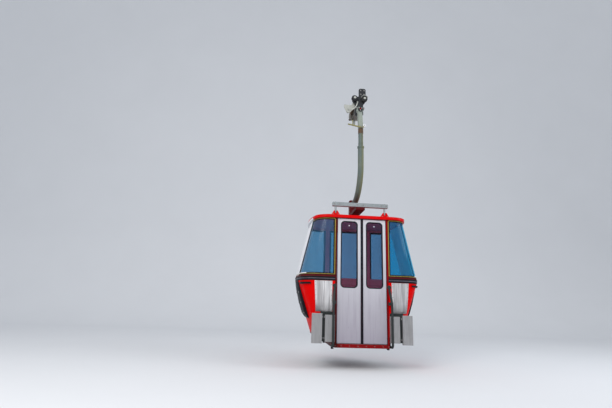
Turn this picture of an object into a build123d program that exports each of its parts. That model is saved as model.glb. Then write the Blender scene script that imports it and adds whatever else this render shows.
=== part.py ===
from build123d import *
import math
import os

# Four-seat cable car cabin with its roof frame, curved hanger and rope grip.
# Own frame: X along the rope, door side at -Y, Z up, origin at the rope's centre in the closed jaws.
# Every height in the cabin is measured up from the foot of the doors, which hangs this far under the rope.
rope_height = 3800
foot_z = -rope_height

running_clearance = 0.3
pin_clearance = 0.05
joint_gap = 8

# Body outline, one row for each height:
# height above the door foot, half length, half depth, corner radius, radius of the bowed end
outline_foot = (100, 675, 572, 240, 1800)
outline_belt = (860, 929, 576, 250, 1700)
outline_sill = (918, 934, 576, 250, 1700)
outline_eaves = (1797, 729, 574, 190, 1700)
shell_wall = 28
belt_wall = 33
belt_proud = 5
rail_height = 24
pane_wall = 6
pane_setback = 5
gasket_wall = 16
gasket_width = 31
gasket_end = 10
end_panel_half = 265
end_panel_wall = 26
toe_half = 500
toe_height = 14

# Doorway and the two door leaves, each on its own shaft at the jamb
door_plane = 566
leaf_thickness = 28
leaf_width = 342
leaf_top = 1786
seal_gap = 6
seal_width = 17
jamb_gap = 10
jamb_width = 24
shaft_radius = 11
shaft_length = 30
shaft_inset = 22
window_margin = 45
window_width = 250
window_low = 767
window_high = 1749
window_corner = 55
door_gasket_width = 12
door_pane_wall = 5
leaf_inner = seal_gap / 2 + seal_width
leaf_outer = leaf_inner + leaf_width
jamb_inner = leaf_outer + jamb_gap
jamb_outer = jamb_inner + jamb_width
shaft_x = leaf_outer - shaft_inset
shaft_y = leaf_thickness / 2 - door_plane
portal_back = -528
sill_height = 52
header_height = 40
header_front = 572

# Floor and seats
floor_wall = 14
frame_inset = 45
frame_member = 55
ring_foot = 12
crossbar_x = 400
crossbar_half = 515
bench_front = 385
bench_end_gap = 28
bench_half_width = -portal_back - bench_end_gap
bench_board = 24
bench_top = 455
cushion_height = 62
backrest_thickness = 60
backrest_half_width = 430

# Outside fittings
# Pressed scuff plate: its corners as x and height, and rows of height and how far it stands proud
scuff_corners = [(438, 856), (697, 856), (668, 422), (434, 422)]
scuff_wall = 3
scuff_rows = [(422, 3), (440, 15), (500, 22), (640, 16), (856, 5)]
# Ski boxes: x from and to, foot and top
basket_boxes = [(399, 537, 18, 378), (579, 724, -4, 396)]
basket_depth = 44
basket_wall = 4
basket_back = 574
strap_feet = (50, 338)
strap_height = 24
bar_radius = 17
bar_x = 423
bar_foot_x = 402
bar_top = 790
bar_shoulder = 562
bar_drop = 40
bar_bend = 45
stay_z = (535, 578)
stay_x = 384
corner_buffer_x = 752
corner_buffer_y = (360, 575)
corner_buffer_rows = [(806, 24), (832, 24)]
foot_radius = 20
foot_drop = 28
foot_place = (408, 450)
rub_half = 14
rub_wall = 12
rub_z = (130, 836)
disc_radius = 160
disc_height = 505
disc_wall = 3
bumper_half = 255
# Rows of the end bumpers: height, how far they stand proud of the end wall
bumper_rows = [(318, 6), (332, 22), (365, 38), (425, 46), (577, 43), (735, 29), (800, 18), (856, 6)]

# Roof
rim_height = 42
rim_wall = 40
rim_proud = 28
roof_wall = 20
# Rows of the dome: rise above the rim, half length, half depth, corner radius, radius of the bowed end
dome_rows = [(0, 755, 600, 216, 1726), (28, 645, 490, 200, 1700), (48, 450, 295, 160, 1600)]

# Roof frame and hanger
beam_y = 450
beam_half_length = 434
beam_size = 62
beam_bottom = 2004
lug_x = 385
lug_height = 78
lug_sunk = 14
lug_notch = 38
lug_base = 150
lug_width = 46
lug_tip = 27
post_radius = 15
cross_width = 140
cross_height = 44
tube_radius = 46
upper_tube_radius = 38
tube_wall = 6
hanger_y = -500
bend_radius = 520
tube_rise = 172
socket_length = 110
socket_wall = 14
collar_drop = 330
collar_thickness = 28
collar_proud = 8
neck_drop = 370
pivot_z = -130
pivot_y = -430
hub_radius = 54
hub_length = 74
pivot_radius = 25
neck_half_x = 36
# Latch lever on the neck: its line, pin and ring as x and z
latch_line = [(50, -457), (22, -492), (-212, -449)]
latch_half = 9
latch_depth = 18
latch_ring_radius = 22
latch_ring_bore = 9
latch_pin_x = -142
latch_pin_z = (-462, -352)
latch_pin_radius = 6
latch_knob_radius = 11
latch_knob_height = 26

# Grip on the rope
rope_radius = 20
grip_length = 190
plate_thickness = 36
plate_front = pivot_y + hub_length / 2 + joint_gap
roller_radius = 52
roller_width = 40
roller_x = 83
roller_z = 90
roller_axle = 14
plate_drop = 70
plate_half = 70
plate_ear = 30
head_half = 58
head_x = 56
head_top = 300
plate_round = 26
cap_proud = 16
cap_thickness = 16
nut_proud = 8
nut_thickness = 10
pin_proud = 6
jaw_pin_y = 16
jaw_pin_z = -90
jaw_pin_radius = 9
ear_length = 34
knuckle_radius = 20
tail_half = 15
tail_end = -170
# Sections of the two jaws across the rope: y, z
fixed_jaw_rows = [(-349, -120), (-70, -120), (-2.6, -70), (-2.6, 14), (-60, 30), (-349, 10)]
jaw_rows = [(2.6, -45), (2.6, 14), (28, 20), (46, -8), (40, -45)]
fixed_ear = (-50, -80)
waist_y = -110
waist_half = 55
# Corners of the eye plate behind the grip frame: x, z
eye_plate_rows = [
    (-246, 4),
    (-120, 0),
    (-100, 50),
    (-60, 50),
    (-60, -70),
    (-92, -70),
    (-150, -142),
    (-198, -142),
    (-246, -40),
]
eye_plate_wall = 26
eye_plate_round = 14
eye_place = (-174, -103)
eye_radius = 11
jaw_boss = (21, -44)
jaw_boss_radius = 18


os.makedirs("parts", exist_ok=True)


def finish(part, name):
    """Labels a finished piece and writes it to its own file."""
    part.part.label = name
    export_step(part.part, f"parts/{name}.step")


def outline(level, inset=0.0):
    """The body's closed outline at one level: straight sides, round corners and bowed ends."""
    height, half_length, half_depth, corner, bow = level
    a = half_length - inset
    b = half_depth - inset
    r = corner - inset
    bow_radius = bow - inset
    lean = math.degrees(math.asin((b - r) / (bow_radius - r)))
    corner_x = a - bow_radius + (bow_radius - r) * math.cos(math.radians(lean))
    with BuildSketch(Plane.XY.offset(foot_z + height)) as section:
        with BuildLine():
            Line((-corner_x, -b), (corner_x, -b))
            CenterArc((corner_x, r - b), r, -90, 90 - lean)
            CenterArc((a - bow_radius, 0), bow_radius, -lean, 2 * lean)
            CenterArc((corner_x, b - r), r, lean, 90 - lean)
            Line((corner_x, b), (-corner_x, b))
            CenterArc((-corner_x, b - r), r, 90, 90 - lean)
            CenterArc((bow_radius - a, 0), bow_radius, 180 - lean, 2 * lean)
            CenterArc((-corner_x, r - b), r, 180 + lean, 90 - lean)
        make_face()
    return section.sketch


def body_solid(levels, inset=0.0, mode=Mode.ADD):
    """Lofts the body between levels, moved inwards by the inset."""
    loft([outline(level, inset).face() for level in levels], ruled=True, mode=mode)


def body_wall(levels, outer, inner):
    """A wall that follows the body, from one inset to a deeper one."""
    body_solid(levels, outer)
    body_solid(levels, inner, Mode.SUBTRACT)


def keep_box(x_range, y_range, z_range, mode=Mode.INTERSECT):
    """Keeps (or takes away) what lies in a box given by its ranges, heights above the door foot."""
    x0, x1 = x_range
    y0, y1 = y_range
    z0, z1 = z_range
    with BuildSketch(Plane.XY.offset(foot_z + z0)) as base:
        with Locations(((x0 + x1) / 2, (y0 + y1) / 2)):
            Rectangle(x1 - x0, y1 - y0)
    extrude(base.sketch, amount=z1 - z0, mode=mode)


def block(x_range, y_range, z_range, mode=Mode.ADD):
    """A plain block given by its ranges, heights above the door foot."""
    keep_box(x_range, y_range, z_range, mode)


far = 1200
belt_bottom = outline_belt[0]
belt_top = outline_sill[0]
eaves = outline_eaves[0]
rim_top = eaves + rim_height
lower_levels = (outline_foot, outline_belt)
belt_levels = (outline_belt, outline_sill)
upper_levels = (outline_sill, outline_eaves)
pillar_x = 360
pillar_half = 34
rail_top = belt_top + rail_height
glass_low = rail_top + gasket_width
toe_z = (glass_low - toe_height, glass_low)


def level_at(height):
    """The lower shell's outline at one height between its two rows."""
    low, high = lower_levels
    share = (height - low[0]) / (high[0] - low[0])
    return (height, *(start + (stop - start) * share for start, stop in zip(low[1:], high[1:])))


def raised(rows, wall=0):
    """What stands proud of the lower shell by rows of height and distance: solid, or a sheet with a wall."""
    loft([outline(level_at(height), -proud).face() for height, proud in rows], ruled=True)
    if wall:
        inner = [outline(level_at(height), wall - proud).face() for height, proud in rows]
        loft(inner, ruled=True, mode=Mode.SUBTRACT)
    body_solid(lower_levels, mode=Mode.SUBTRACT)


# Lower panels: name, x range, y range
lower_panels = [
    ("lower_panel_rear", (-pillar_x, pillar_x), (0, far)),
    ("lower_panel_rear_left", (-far, -pillar_x), (0, far)),
    ("lower_panel_rear_right", (pillar_x, far), (0, far)),
    ("lower_panel_front_left", (-far, -jamb_outer), (-far, 0)),
    ("lower_panel_front_right", (jamb_outer, far), (-far, 0)),
]
for name, x_range, y_range in lower_panels:
    with BuildPart() as panel:
        body_wall(lower_levels, 0, shell_wall)
        keep_box(x_range, y_range, (0, rope_height))
    finish(panel, name)

# Dark belt band under the windows, open at the doorway
with BuildPart() as belt:
    body_wall(belt_levels, -belt_proud, belt_wall - belt_proud)
    block((-jamb_outer, jamb_outer), (-far, 0), (0, rope_height), Mode.SUBTRACT)
finish(belt, "belt")

# White end panels, each with a low toe that reaches round the corners under the glass
for name, side in (("end_panel_left", -1), ("end_panel_right", 1)):
    end_x = sorted((0, side * far))
    with BuildPart() as end_toe:
        body_wall(upper_levels, 0, gasket_wall)
        keep_box(end_x, (-toe_half, toe_half), toe_z)
    with BuildPart() as end_panel:
        body_wall(upper_levels, 0, end_panel_wall)
        keep_box(end_x, (-end_panel_half, end_panel_half), (rail_top, rope_height))
        add(end_toe.part)
    finish(end_panel, name)

# Dark red rail between the belt and the windows
inner_x = pillar_x - pillar_half
outer_x = pillar_x + pillar_half
with BuildPart() as rail:
    body_wall(upper_levels, 0, end_panel_wall)
    keep_box((-far, far), (-far, far), (belt_top, rail_top))
    block((-jamb_outer, jamb_outer), (-far, 0), (0, rope_height), Mode.SUBTRACT)
    for x_range in ((-outer_x, -inner_x), (inner_x, outer_x)):
        block(x_range, (0, far), (0, rope_height), Mode.SUBTRACT)
finish(rail, "window_rail")

# Corner panes: name, side along X, side along Y, x where the pane's frame starts
corner_panes = [
    ("front_left", -1, -1, jamb_outer),
    ("front_right", 1, -1, jamb_outer),
    ("rear_left", -1, 1, outer_x),
    ("rear_right", 1, 1, outer_x),
]
gasket_solids = []
for name, x_side, y_side, x_start in corner_panes:
    frame_x = sorted((x_side * x_start, x_side * far))
    frame_y = sorted((y_side * end_panel_half, y_side * far))
    glass_x = sorted((x_side * (x_start + gasket_width), x_side * far))
    glass_y = sorted((y_side * (end_panel_half + gasket_end), y_side * far))
    glass_z = (glass_low, eaves - gasket_width)
    with BuildPart() as gasket:
        body_wall(upper_levels, 0, gasket_wall)
        keep_box(frame_x, frame_y, (rail_top, rope_height))
        keep_box(glass_x, glass_y, glass_z, Mode.SUBTRACT)
        keep_box(sorted((0, x_side * far)), (-toe_half, toe_half), toe_z, Mode.SUBTRACT)
    gasket_solids.append(gasket.part)
    with BuildPart() as pane:
        body_wall(upper_levels, pane_setback, pane_setback + pane_wall)
        keep_box(glass_x, glass_y, glass_z)
    finish(pane, f"pane_{name}")

# Rear pillars, the rear window's frame and its pane
with BuildPart() as rear_pillars:
    body_wall(upper_levels, 0, shell_wall)
    pillar_y = (0, far)
    keep_box((-outer_x, outer_x), pillar_y, (0, rope_height))
    keep_box((-inner_x, inner_x), pillar_y, (0, rope_height), Mode.SUBTRACT)
finish(rear_pillars, "rear_pillars")

with BuildPart() as rear_gasket:
    body_wall(upper_levels, 0, gasket_wall)
    keep_box((-inner_x, inner_x), pillar_y, (rail_top, rope_height))
    rear_glass_x = (gasket_width - inner_x, inner_x - gasket_width)
    keep_box(rear_glass_x, pillar_y, glass_z, Mode.SUBTRACT)
with BuildPart() as gaskets:
    add(rear_gasket.part)
    add(gasket_solids)
finish(gaskets, "window_gaskets")

with BuildPart() as rear_pane:
    body_wall(upper_levels, pane_setback, pane_setback + pane_wall)
    keep_box(rear_glass_x, pillar_y, glass_z)
finish(rear_pane, "pane_rear_middle")

# Door portal: two red jambs that fill the wall, and the header that the leaves hang from
header_low = leaf_top + joint_gap
header_top = header_low + header_height
with BuildPart() as portal:
    for levels in (lower_levels, belt_levels, upper_levels):
        body_solid(levels)
    keep_box((-jamb_outer, jamb_outer), (-far, portal_back), (0, rope_height))
    block((-jamb_outer, jamb_outer), (-outline_foot[2], portal_back), (-joint_gap, outline_foot[0]))
    block((-jamb_inner, jamb_inner), (-far, 0), (-sill_height, rope_height), Mode.SUBTRACT)
    block((-jamb_outer, jamb_outer), (-header_front, portal_back), (header_low, header_top))
    with BuildSketch(Plane.XY.offset(foot_z + leaf_top)) as shaft_holes:
        with Locations((-shaft_x, shaft_y), (shaft_x, shaft_y)):
            Circle(shaft_radius + pin_clearance)
    extrude(shaft_holes.sketch, amount=shaft_length + joint_gap, mode=Mode.SUBTRACT)
finish(portal, "door_portal")

with BuildPart() as sill:
    sill_z = (-joint_gap - sill_height, -joint_gap)
    block((-jamb_outer, jamb_outer), (-outline_foot[2], portal_back), sill_z)
    with BuildSketch(Plane.XY.offset(foot_z)) as shaft_holes:
        with Locations((-shaft_x, shaft_y), (shaft_x, shaft_y)):
            Circle(shaft_radius + pin_clearance)
    extrude(shaft_holes.sketch, amount=-shaft_length - joint_gap, mode=Mode.SUBTRACT)
finish(sill, "door_sill")

# Each leaf is built on the side it hangs on
for name, side in (("left", -1), ("right", 1)):
    leaf_x = sorted((side * leaf_inner, side * leaf_outer))
    window_height = window_high - window_low
    window_x = side * (leaf_inner + window_margin + window_width / 2)
    window_centre = (window_x, foot_z + window_low + window_height / 2)
    window_plane = Plane.XZ.offset(door_plane)
    pane_width = window_width - 2 * door_gasket_width
    pane_height = window_height - 2 * door_gasket_width
    pane_corner = window_corner - door_gasket_width
    with BuildPart() as leaf:
        block(leaf_x, (-door_plane, leaf_thickness - door_plane), (0, leaf_top))
        with BuildSketch(window_plane) as opening:
            with Locations(window_centre):
                RectangleRounded(window_width, window_height, window_corner)
        extrude(opening.sketch, amount=-leaf_thickness, mode=Mode.SUBTRACT)
        with BuildSketch(Plane.XY.offset(foot_z - shaft_length)) as shaft:
            with Locations((side * shaft_x, shaft_y)):
                Circle(shaft_radius)
        extrude(shaft.sketch, amount=leaf_top + 2 * shaft_length)
    finish(leaf, f"door_leaf_{name}")
    with BuildPart() as door_gasket:
        with BuildSketch(window_plane) as ring:
            with Locations(window_centre):
                RectangleRounded(window_width, window_height, window_corner)
                RectangleRounded(pane_width, pane_height, pane_corner, mode=Mode.SUBTRACT)
        extrude(ring.sketch, amount=-leaf_thickness)
        seal_x = sorted((side * seal_gap / 2, side * leaf_inner))
        block(seal_x, (-door_plane, leaf_thickness - door_plane), (0, leaf_top))
    finish(door_gasket, f"door_rubber_{name}")
    with BuildPart() as door_pane:
        with BuildSketch(window_plane.offset((door_pane_wall - leaf_thickness) / 2)) as glass:
            with Locations(window_centre):
                RectangleRounded(pane_width, pane_height, pane_corner)
        extrude(glass.sketch, amount=-door_pane_wall)
    finish(door_pane, f"door_pane_{name}")

# Roof: a red rim band on the eaves and a hollow dome inside it
rim_levels = (outline_eaves, (rim_top, *outline_eaves[1:]))
doorway_x = (-jamb_outer - running_clearance, jamb_outer + running_clearance)
with BuildPart() as rim:
    body_wall(rim_levels, -rim_proud, rim_wall - rim_proud)
    header_room = (-header_front - running_clearance, 0)
    block(doorway_x, header_room, (0, header_top + running_clearance), Mode.SUBTRACT)
finish(rim, "roof_rim")


def roof_dome(inset, drop, mode=Mode.ADD):
    """The dome's loft, moved inwards by the inset and lowered by the drop, down to its foot at most."""
    rows = [(rim_top + max(rise - drop, 0), *sizes) for rise, *sizes in dome_rows]
    loft([outline(row, inset).face() for row in rows], mode=mode)


with BuildPart() as roof:
    roof_dome(0, 0)
    roof_dome(2 * roof_wall, roof_wall, Mode.SUBTRACT)
finish(roof, "roof_shell")

# Floor plate on its welded underframe
floor_top = outline_foot[0]
doorway_y = (-far, portal_back + joint_gap)
with BuildPart() as floor_plate:
    extrude(outline((floor_top - floor_wall, *outline_foot[1:]), 0).face(), amount=floor_wall)
    block(doorway_x, doorway_y, (-far, far), Mode.SUBTRACT)
finish(floor_plate, "floor_plate")

frame_low = -joint_gap - sill_height
frame_high = floor_top - floor_wall
with BuildPart() as underframe:
    ring_level = (ring_foot, *outline_foot[1:])
    ring_height = frame_high - ring_foot
    extrude(outline(ring_level, frame_inset).face(), amount=ring_height)
    extrude(outline(ring_level, frame_inset + frame_member).face(), amount=ring_height, mode=Mode.SUBTRACT)
    for x in (-crossbar_x, crossbar_x):
        bar_range = (x - frame_member / 2, x + frame_member / 2)
        block(bar_range, (-crossbar_half, crossbar_half), (frame_low, frame_high))
    block(doorway_x, doorway_y, (-far, far), Mode.SUBTRACT)
finish(underframe, "underframe")

# Round rubber feet that the cabin stands on when it is parked
with BuildPart() as feet:
    with BuildSketch(Plane.XY.offset(foot_z + frame_low - foot_drop)) as feet_section:
        for x_side in (-1, 1):
            with Locations((x_side * foot_place[0], -foot_place[1]), (x_side * foot_place[0], foot_place[1])):
                Circle(foot_radius)
    extrude(feet_section.sketch, amount=foot_drop)
finish(feet, "station_feet")

# Benches and their padding follow the lower shell's inside
bench_inset = shell_wall + running_clearance
with BuildPart() as benches:
    body_solid(lower_levels, bench_inset)
    keep_box((-far, far), (-bench_half_width, bench_half_width), (floor_top, bench_top))
    block((-bench_front, bench_front), (-far, far), (0, rope_height), Mode.SUBTRACT)
    riser_back = bench_front + bench_board
    for side in (-1, 1):
        under_x = sorted((side * riser_back, side * far))
        block(under_x, (-far, far), (floor_top, bench_top - bench_board), Mode.SUBTRACT)
finish(benches, "benches")

rest_foot = bench_top + cushion_height + running_clearance
rest_top = belt_bottom - running_clearance
for name, side in (("left", -1), ("right", 1)):
    seat_x = sorted((side * bench_front, side * far))
    with BuildPart() as cushion:
        body_solid(lower_levels, bench_inset)
        keep_box(seat_x, (-bench_half_width, bench_half_width), (bench_top, bench_top + cushion_height))
    finish(cushion, f"seat_cushion_{name}")
    with BuildPart() as backrest:
        body_wall(lower_levels, bench_inset, bench_inset + backrest_thickness)
        keep_box(seat_x, (-backrest_half_width, backrest_half_width), (rest_foot, rest_top))
    finish(backrest, f"backrest_{name}")

# Pressed scuff plates under the front corner windows
with BuildPart() as scuffs:
    raised(scuff_rows, scuff_wall)
    with BuildSketch(Plane.XZ) as scuff_outline:
        for side in (-1, 1):
            with BuildLine():
                Polyline(*[(side * x, foot_z + height) for x, height in scuff_corners], close=True)
            make_face()
    extrude(scuff_outline.sketch, amount=far, mode=Mode.INTERSECT)
finish(scuffs, "scuff_plates")

# Rubber rubbing blocks on the front corners
with BuildPart() as corner_buffers:
    raised(corner_buffer_rows)
    low_y, high_y = corner_buffer_y
    keep_box((-far, far), (-high_y, -low_y), (0, rope_height))
    block((-corner_buffer_x, corner_buffer_x), (-far, 0), (0, rope_height), Mode.SUBTRACT)
finish(corner_buffers, "corner_buffers")

# Rear panel: two rub strips over its seams and a plain round plate
with BuildPart() as rub_strips:
    body_wall(lower_levels, -rub_wall, 0)
    keep_box((-pillar_x - rub_half, pillar_x + rub_half), (0, far), rub_z)
    block((rub_half - pillar_x, pillar_x - rub_half), (0, far), rub_z, Mode.SUBTRACT)
finish(rub_strips, "rear_rub_strips")

with BuildPart() as disc:
    body_wall(lower_levels, -disc_wall, 0)
    with BuildSketch(Plane.XZ) as disc_outline:
        with Locations((0, foot_z + disc_height)):
            Circle(disc_radius)
    extrude(disc_outline.sketch, amount=-far, mode=Mode.INTERSECT)
finish(disc, "rear_disc")

# Rubber bumpers on the two ends, pillowed from foot to belt
with BuildPart() as bumpers:
    raised(bumper_rows)
    keep_box((-far, far), (-bumper_half, bumper_half), (0, rope_height))
finish(bumpers, "end_bumpers")

# Open-topped ski boxes, two on each side of the door, on a pair of straps
basket_front = basket_back + basket_depth
for name, side in (("left", -1), ("right", 1)):
    with BuildPart() as basket:
        for near, away, box_foot, box_top in basket_boxes:
            box_x = sorted((side * near, side * away))
            block(box_x, (-basket_front, -basket_back), (box_foot, box_top))
            pocket_x = (box_x[0] + basket_wall, box_x[1] - basket_wall)
            pocket_y = (basket_wall - basket_front, -basket_back - basket_wall)
            block(pocket_x, pocket_y, (box_foot + basket_wall, box_top), Mode.SUBTRACT)
        strap_x = sorted((side * basket_boxes[0][0], side * basket_boxes[1][1]))
        for strap_foot in strap_feet:
            strap_z = (strap_foot, strap_foot + strap_height)
            block(strap_x, (-basket_back - basket_wall, -basket_back), strap_z)
    finish(basket, f"ski_basket_{name}")

# Guard bars that run down past the doorway, each with a stay to its jamb
bar_y = basket_front + running_clearance + bar_radius
bar_solids = []
for side in (-1, 1):
    points = [
        (side * bar_foot_x, bar_radius - outline_belt[2], foot_z + bar_top),
        (side * bar_x, -bar_y, foot_z + bar_shoulder),
        (side * bar_x, -bar_y, foot_z - bar_drop),
        (side * bar_x, -crossbar_half, foot_z - bar_drop),
    ]
    with BuildPart() as bar:
        with BuildLine() as bar_path:
            FilletPolyline(*points, radius=bar_bend)
        with BuildSketch(Plane(origin=bar_path.line @ 0, z_dir=bar_path.line % 0)) as bar_section:
            Circle(bar_radius)
        sweep(bar_section.sketch, path=bar_path.line)
        block(sorted((side * stay_x, side * bar_x)), (-bar_y, 0), stay_z)
        body_solid(lower_levels, mode=Mode.SUBTRACT)
    bar_solids.append(bar.part)
with BuildPart() as bars:
    add(bar_solids)
finish(bars, "guard_bars")

# Roof frame: red lugs, posts, two galvanised beams and the cross member
beam_top = beam_bottom + beam_size
lug_foot = rim_top + lug_sunk
lug_top = lug_foot + lug_height
beam_places = [(x_side * lug_x, y_side * beam_y) for x_side in (-1, 1) for y_side in (-1, 1)]
with BuildPart() as lugs:
    for x, y in beam_places:
        with BuildSketch(Plane.XZ.offset(-y - lug_width / 2)) as lug_side:
            with BuildLine():
                Polyline(
                    (x - lug_base / 2, foot_z + lug_foot),
                    (x - lug_tip, foot_z + lug_top),
                    (x - post_radius, foot_z + lug_top),
                    (x - post_radius, foot_z + lug_foot + lug_notch),
                    (x + post_radius, foot_z + lug_foot + lug_notch),
                    (x + post_radius, foot_z + lug_top),
                    (x + lug_tip, foot_z + lug_top),
                    (x + lug_base / 2, foot_z + lug_foot),
                    close=True,
                )
            make_face()
        extrude(lug_side.sketch, amount=lug_width)
    roof_dome(0, 0, Mode.SUBTRACT)
finish(lugs, "roof_lugs")

with BuildPart() as posts:
    with BuildSketch(Plane.XY.offset(foot_z + lug_foot + lug_notch)) as post_section:
        with Locations(*beam_places):
            Circle(post_radius - running_clearance)
    extrude(post_section.sketch, amount=beam_bottom - lug_foot - lug_notch)
finish(posts, "roof_posts")

with BuildPart() as beams:
    for y in (-beam_y, beam_y):
        beam_range = (y - beam_size / 2, y + beam_size / 2)
        block((-beam_half_length, beam_half_length), beam_range, (beam_bottom, beam_top))
finish(beams, "roof_beams")

with BuildPart() as cross_member:
    half = beam_y + beam_size / 2
    block((-cross_width / 2, cross_width / 2), (-half, half), (beam_bottom - cross_height, beam_bottom))
finish(cross_member, "cross_member")

# The tube's low end lies on the cross member, and its top and collar hang under the pivot
tube_end_z = foot_z + beam_bottom + tube_rise
tube_top_z = pivot_z - neck_drop
collar_z = tube_top_z - collar_drop
socket_y = (hanger_y + bend_radius, hanger_y + bend_radius + socket_length)
with BuildPart() as socket:
    socket_z = (beam_bottom, beam_bottom + tube_rise + tube_radius + socket_wall)
    block((-cross_width / 2, cross_width / 2), socket_y, socket_z)
    with BuildSketch(Plane.XZ.offset(-socket_y[0])) as socket_hole:
        with Locations((0, tube_end_z)):
            Circle(tube_radius)
    extrude(socket_hole.sketch, amount=socket_y[0] - socket_y[1] + socket_wall, mode=Mode.SUBTRACT)
finish(socket, "hanger_socket")

bend_foot = (0, hanger_y + bend_radius, tube_end_z)
bend_top = (0, hanger_y, tube_end_z + bend_radius)
middle = bend_radius * math.sin(math.radians(45))
bend_middle = (0, hanger_y + bend_radius - middle, tube_end_z + bend_radius - middle)
with BuildPart() as tube:
    with BuildLine() as tube_path:
        Line((0, socket_y[1] - socket_wall, tube_end_z), bend_foot)
        ThreePointArc(bend_foot, bend_middle, bend_top)
        Line(bend_top, (0, hanger_y, collar_z))
    with BuildSketch(Plane(origin=tube_path.line @ 0, z_dir=tube_path.line % 0)) as tube_section:
        Circle(tube_radius)
        Circle(tube_radius - tube_wall, mode=Mode.SUBTRACT)
    sweep(tube_section.sketch, path=tube_path.line)
finish(tube, "hanger_tube")

with BuildPart() as upper_tube:
    with BuildSketch(Plane.XY.offset(collar_z)) as collar_section:
        with Locations((0, hanger_y)):
            Circle(tube_radius + collar_proud)
    extrude(collar_section.sketch, amount=collar_thickness)
    with BuildSketch(Plane.XY.offset(collar_z + collar_thickness)) as upper_section:
        with Locations((0, hanger_y)):
            Circle(upper_tube_radius)
    extrude(upper_section.sketch, amount=collar_drop - collar_thickness)
finish(upper_tube, "hanger_upper_tube")

hub_front = pivot_y - hub_length / 2
hub_back = pivot_y + hub_length / 2
with BuildPart() as neck:
    with BuildSketch(Plane.YZ.offset(-neck_half_x)) as neck_side:
        with BuildLine():
            Polyline(
                (hanger_y - upper_tube_radius, tube_top_z),
                (hanger_y + upper_tube_radius, tube_top_z),
                (hub_back, pivot_z - hub_radius),
                (hub_back, pivot_z),
                (hub_front, pivot_z),
                (hub_front, pivot_z - hub_radius),
                close=True,
            )
        make_face()
    extrude(neck_side.sketch, amount=2 * neck_half_x)
    with BuildSketch(Plane.XZ.offset(-hub_back)) as hub:
        with Locations((0, pivot_z)):
            Circle(hub_radius)
    extrude(hub.sketch, amount=hub_length)
    with BuildSketch(Plane.XZ.offset(-hub_back)) as hub_bore:
        with Locations((0, pivot_z)):
            Circle(pivot_radius + pin_clearance)
    extrude(hub_bore.sketch, amount=hub_length, mode=Mode.SUBTRACT)
finish(neck, "hanger_neck")

# Latch lever on the front of the neck, with its upright pin and its ring
latch_back = hanger_y - upper_tube_radius - running_clearance
with BuildPart() as latch:
    for arm_start, arm_end in zip(latch_line[:-1], latch_line[1:]):
        with BuildSketch(Plane.XZ.offset(-latch_back)) as latch_arm:
            with Locations(arm_start, arm_end):
                Circle(latch_half)
            make_hull()
        extrude(latch_arm.sketch, amount=latch_depth)
    with BuildSketch(Plane.XZ.offset(-latch_back)) as latch_ring:
        with Locations(latch_line[0]):
            Circle(latch_ring_radius)
    extrude(latch_ring.sketch, amount=latch_depth)
    with BuildSketch(Plane.XZ.offset(-latch_back)) as latch_bore:
        with Locations(latch_line[0]):
            Circle(latch_ring_bore)
    extrude(latch_bore.sketch, amount=latch_depth, mode=Mode.SUBTRACT)
    pin_centre = (latch_pin_x, latch_back - latch_depth / 2)
    with BuildSketch(Plane.XY.offset(latch_pin_z[0])) as latch_pin:
        with Locations(pin_centre):
            Circle(latch_pin_radius)
    extrude(latch_pin.sketch, amount=latch_pin_z[1] - latch_pin_z[0])
    with BuildSketch(Plane.XY.offset(latch_pin_z[1])) as latch_knob:
        with Locations(pin_centre):
            Circle(latch_knob_radius)
    extrude(latch_knob.sketch, amount=-latch_knob_height)
finish(latch, "hanger_latch")

# Grip: a cast frame with the pivot shaft and the roller axles, the fixed jaw and the hinged jaw
plate_back = plate_front + plate_thickness
roller_back = plate_front - joint_gap
ear_x = roller_x + plate_ear
with BuildPart() as frame:
    with BuildSketch(Plane.XZ.offset(-plate_back)) as plate:
        with BuildLine():
            Polyline(
                (-plate_half, pivot_z - plate_drop),
                (plate_half, pivot_z - plate_drop),
                (plate_half, 0),
                (ear_x, roller_z - plate_ear),
                (ear_x, roller_z + plate_ear),
                (head_x + head_half, roller_z + 2 * plate_ear),
                (head_x + head_half, head_top),
                (head_x - head_half, head_top),
                (head_x - head_half, roller_z + 2 * plate_ear),
                (-ear_x, roller_z + plate_ear),
                (-ear_x, roller_z - plate_ear),
                (-plate_half, 0),
                close=True,
            )
        make_face()
        fillet(plate.vertices(), plate_round)
    extrude(plate.sketch, amount=plate_thickness)
    with BuildSketch(Plane.XZ.offset(-plate_front)) as pivot_section:
        with Locations((0, pivot_z)):
            Circle(pivot_radius)
    extrude(pivot_section.sketch, amount=hub_length + 2 * joint_gap)
    with BuildSketch(Plane.XZ.offset(-plate_front + hub_length + 2 * joint_gap)) as cap_section:
        with Locations((0, pivot_z)):
            Circle(pivot_radius + cap_proud)
    extrude(cap_section.sketch, amount=cap_thickness)
    with BuildSketch(Plane.XZ.offset(-plate_front)) as axle_section:
        with Locations((-roller_x, roller_z), (roller_x, roller_z)):
            Circle(roller_axle)
    extrude(axle_section.sketch, amount=roller_width + 2 * joint_gap)
    with BuildSketch(Plane.XZ.offset(-plate_front + roller_width + 2 * joint_gap)) as nut_section:
        with Locations((-roller_x, roller_z), (roller_x, roller_z)):
            Circle(roller_axle + nut_proud)
    extrude(nut_section.sketch, amount=nut_thickness)
finish(frame, "grip_frame")

with BuildPart() as eye_plate:
    with BuildSketch(Plane.XZ.offset(-plate_back - running_clearance)) as eye_side:
        with BuildLine():
            Polyline(*eye_plate_rows, close=True)
        make_face()
        fillet(eye_side.vertices(), eye_plate_round)
        with Locations(eye_place):
            Circle(eye_radius, mode=Mode.SUBTRACT)
    extrude(eye_side.sketch, amount=-eye_plate_wall)
finish(eye_plate, "grip_eye_plate")

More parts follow.
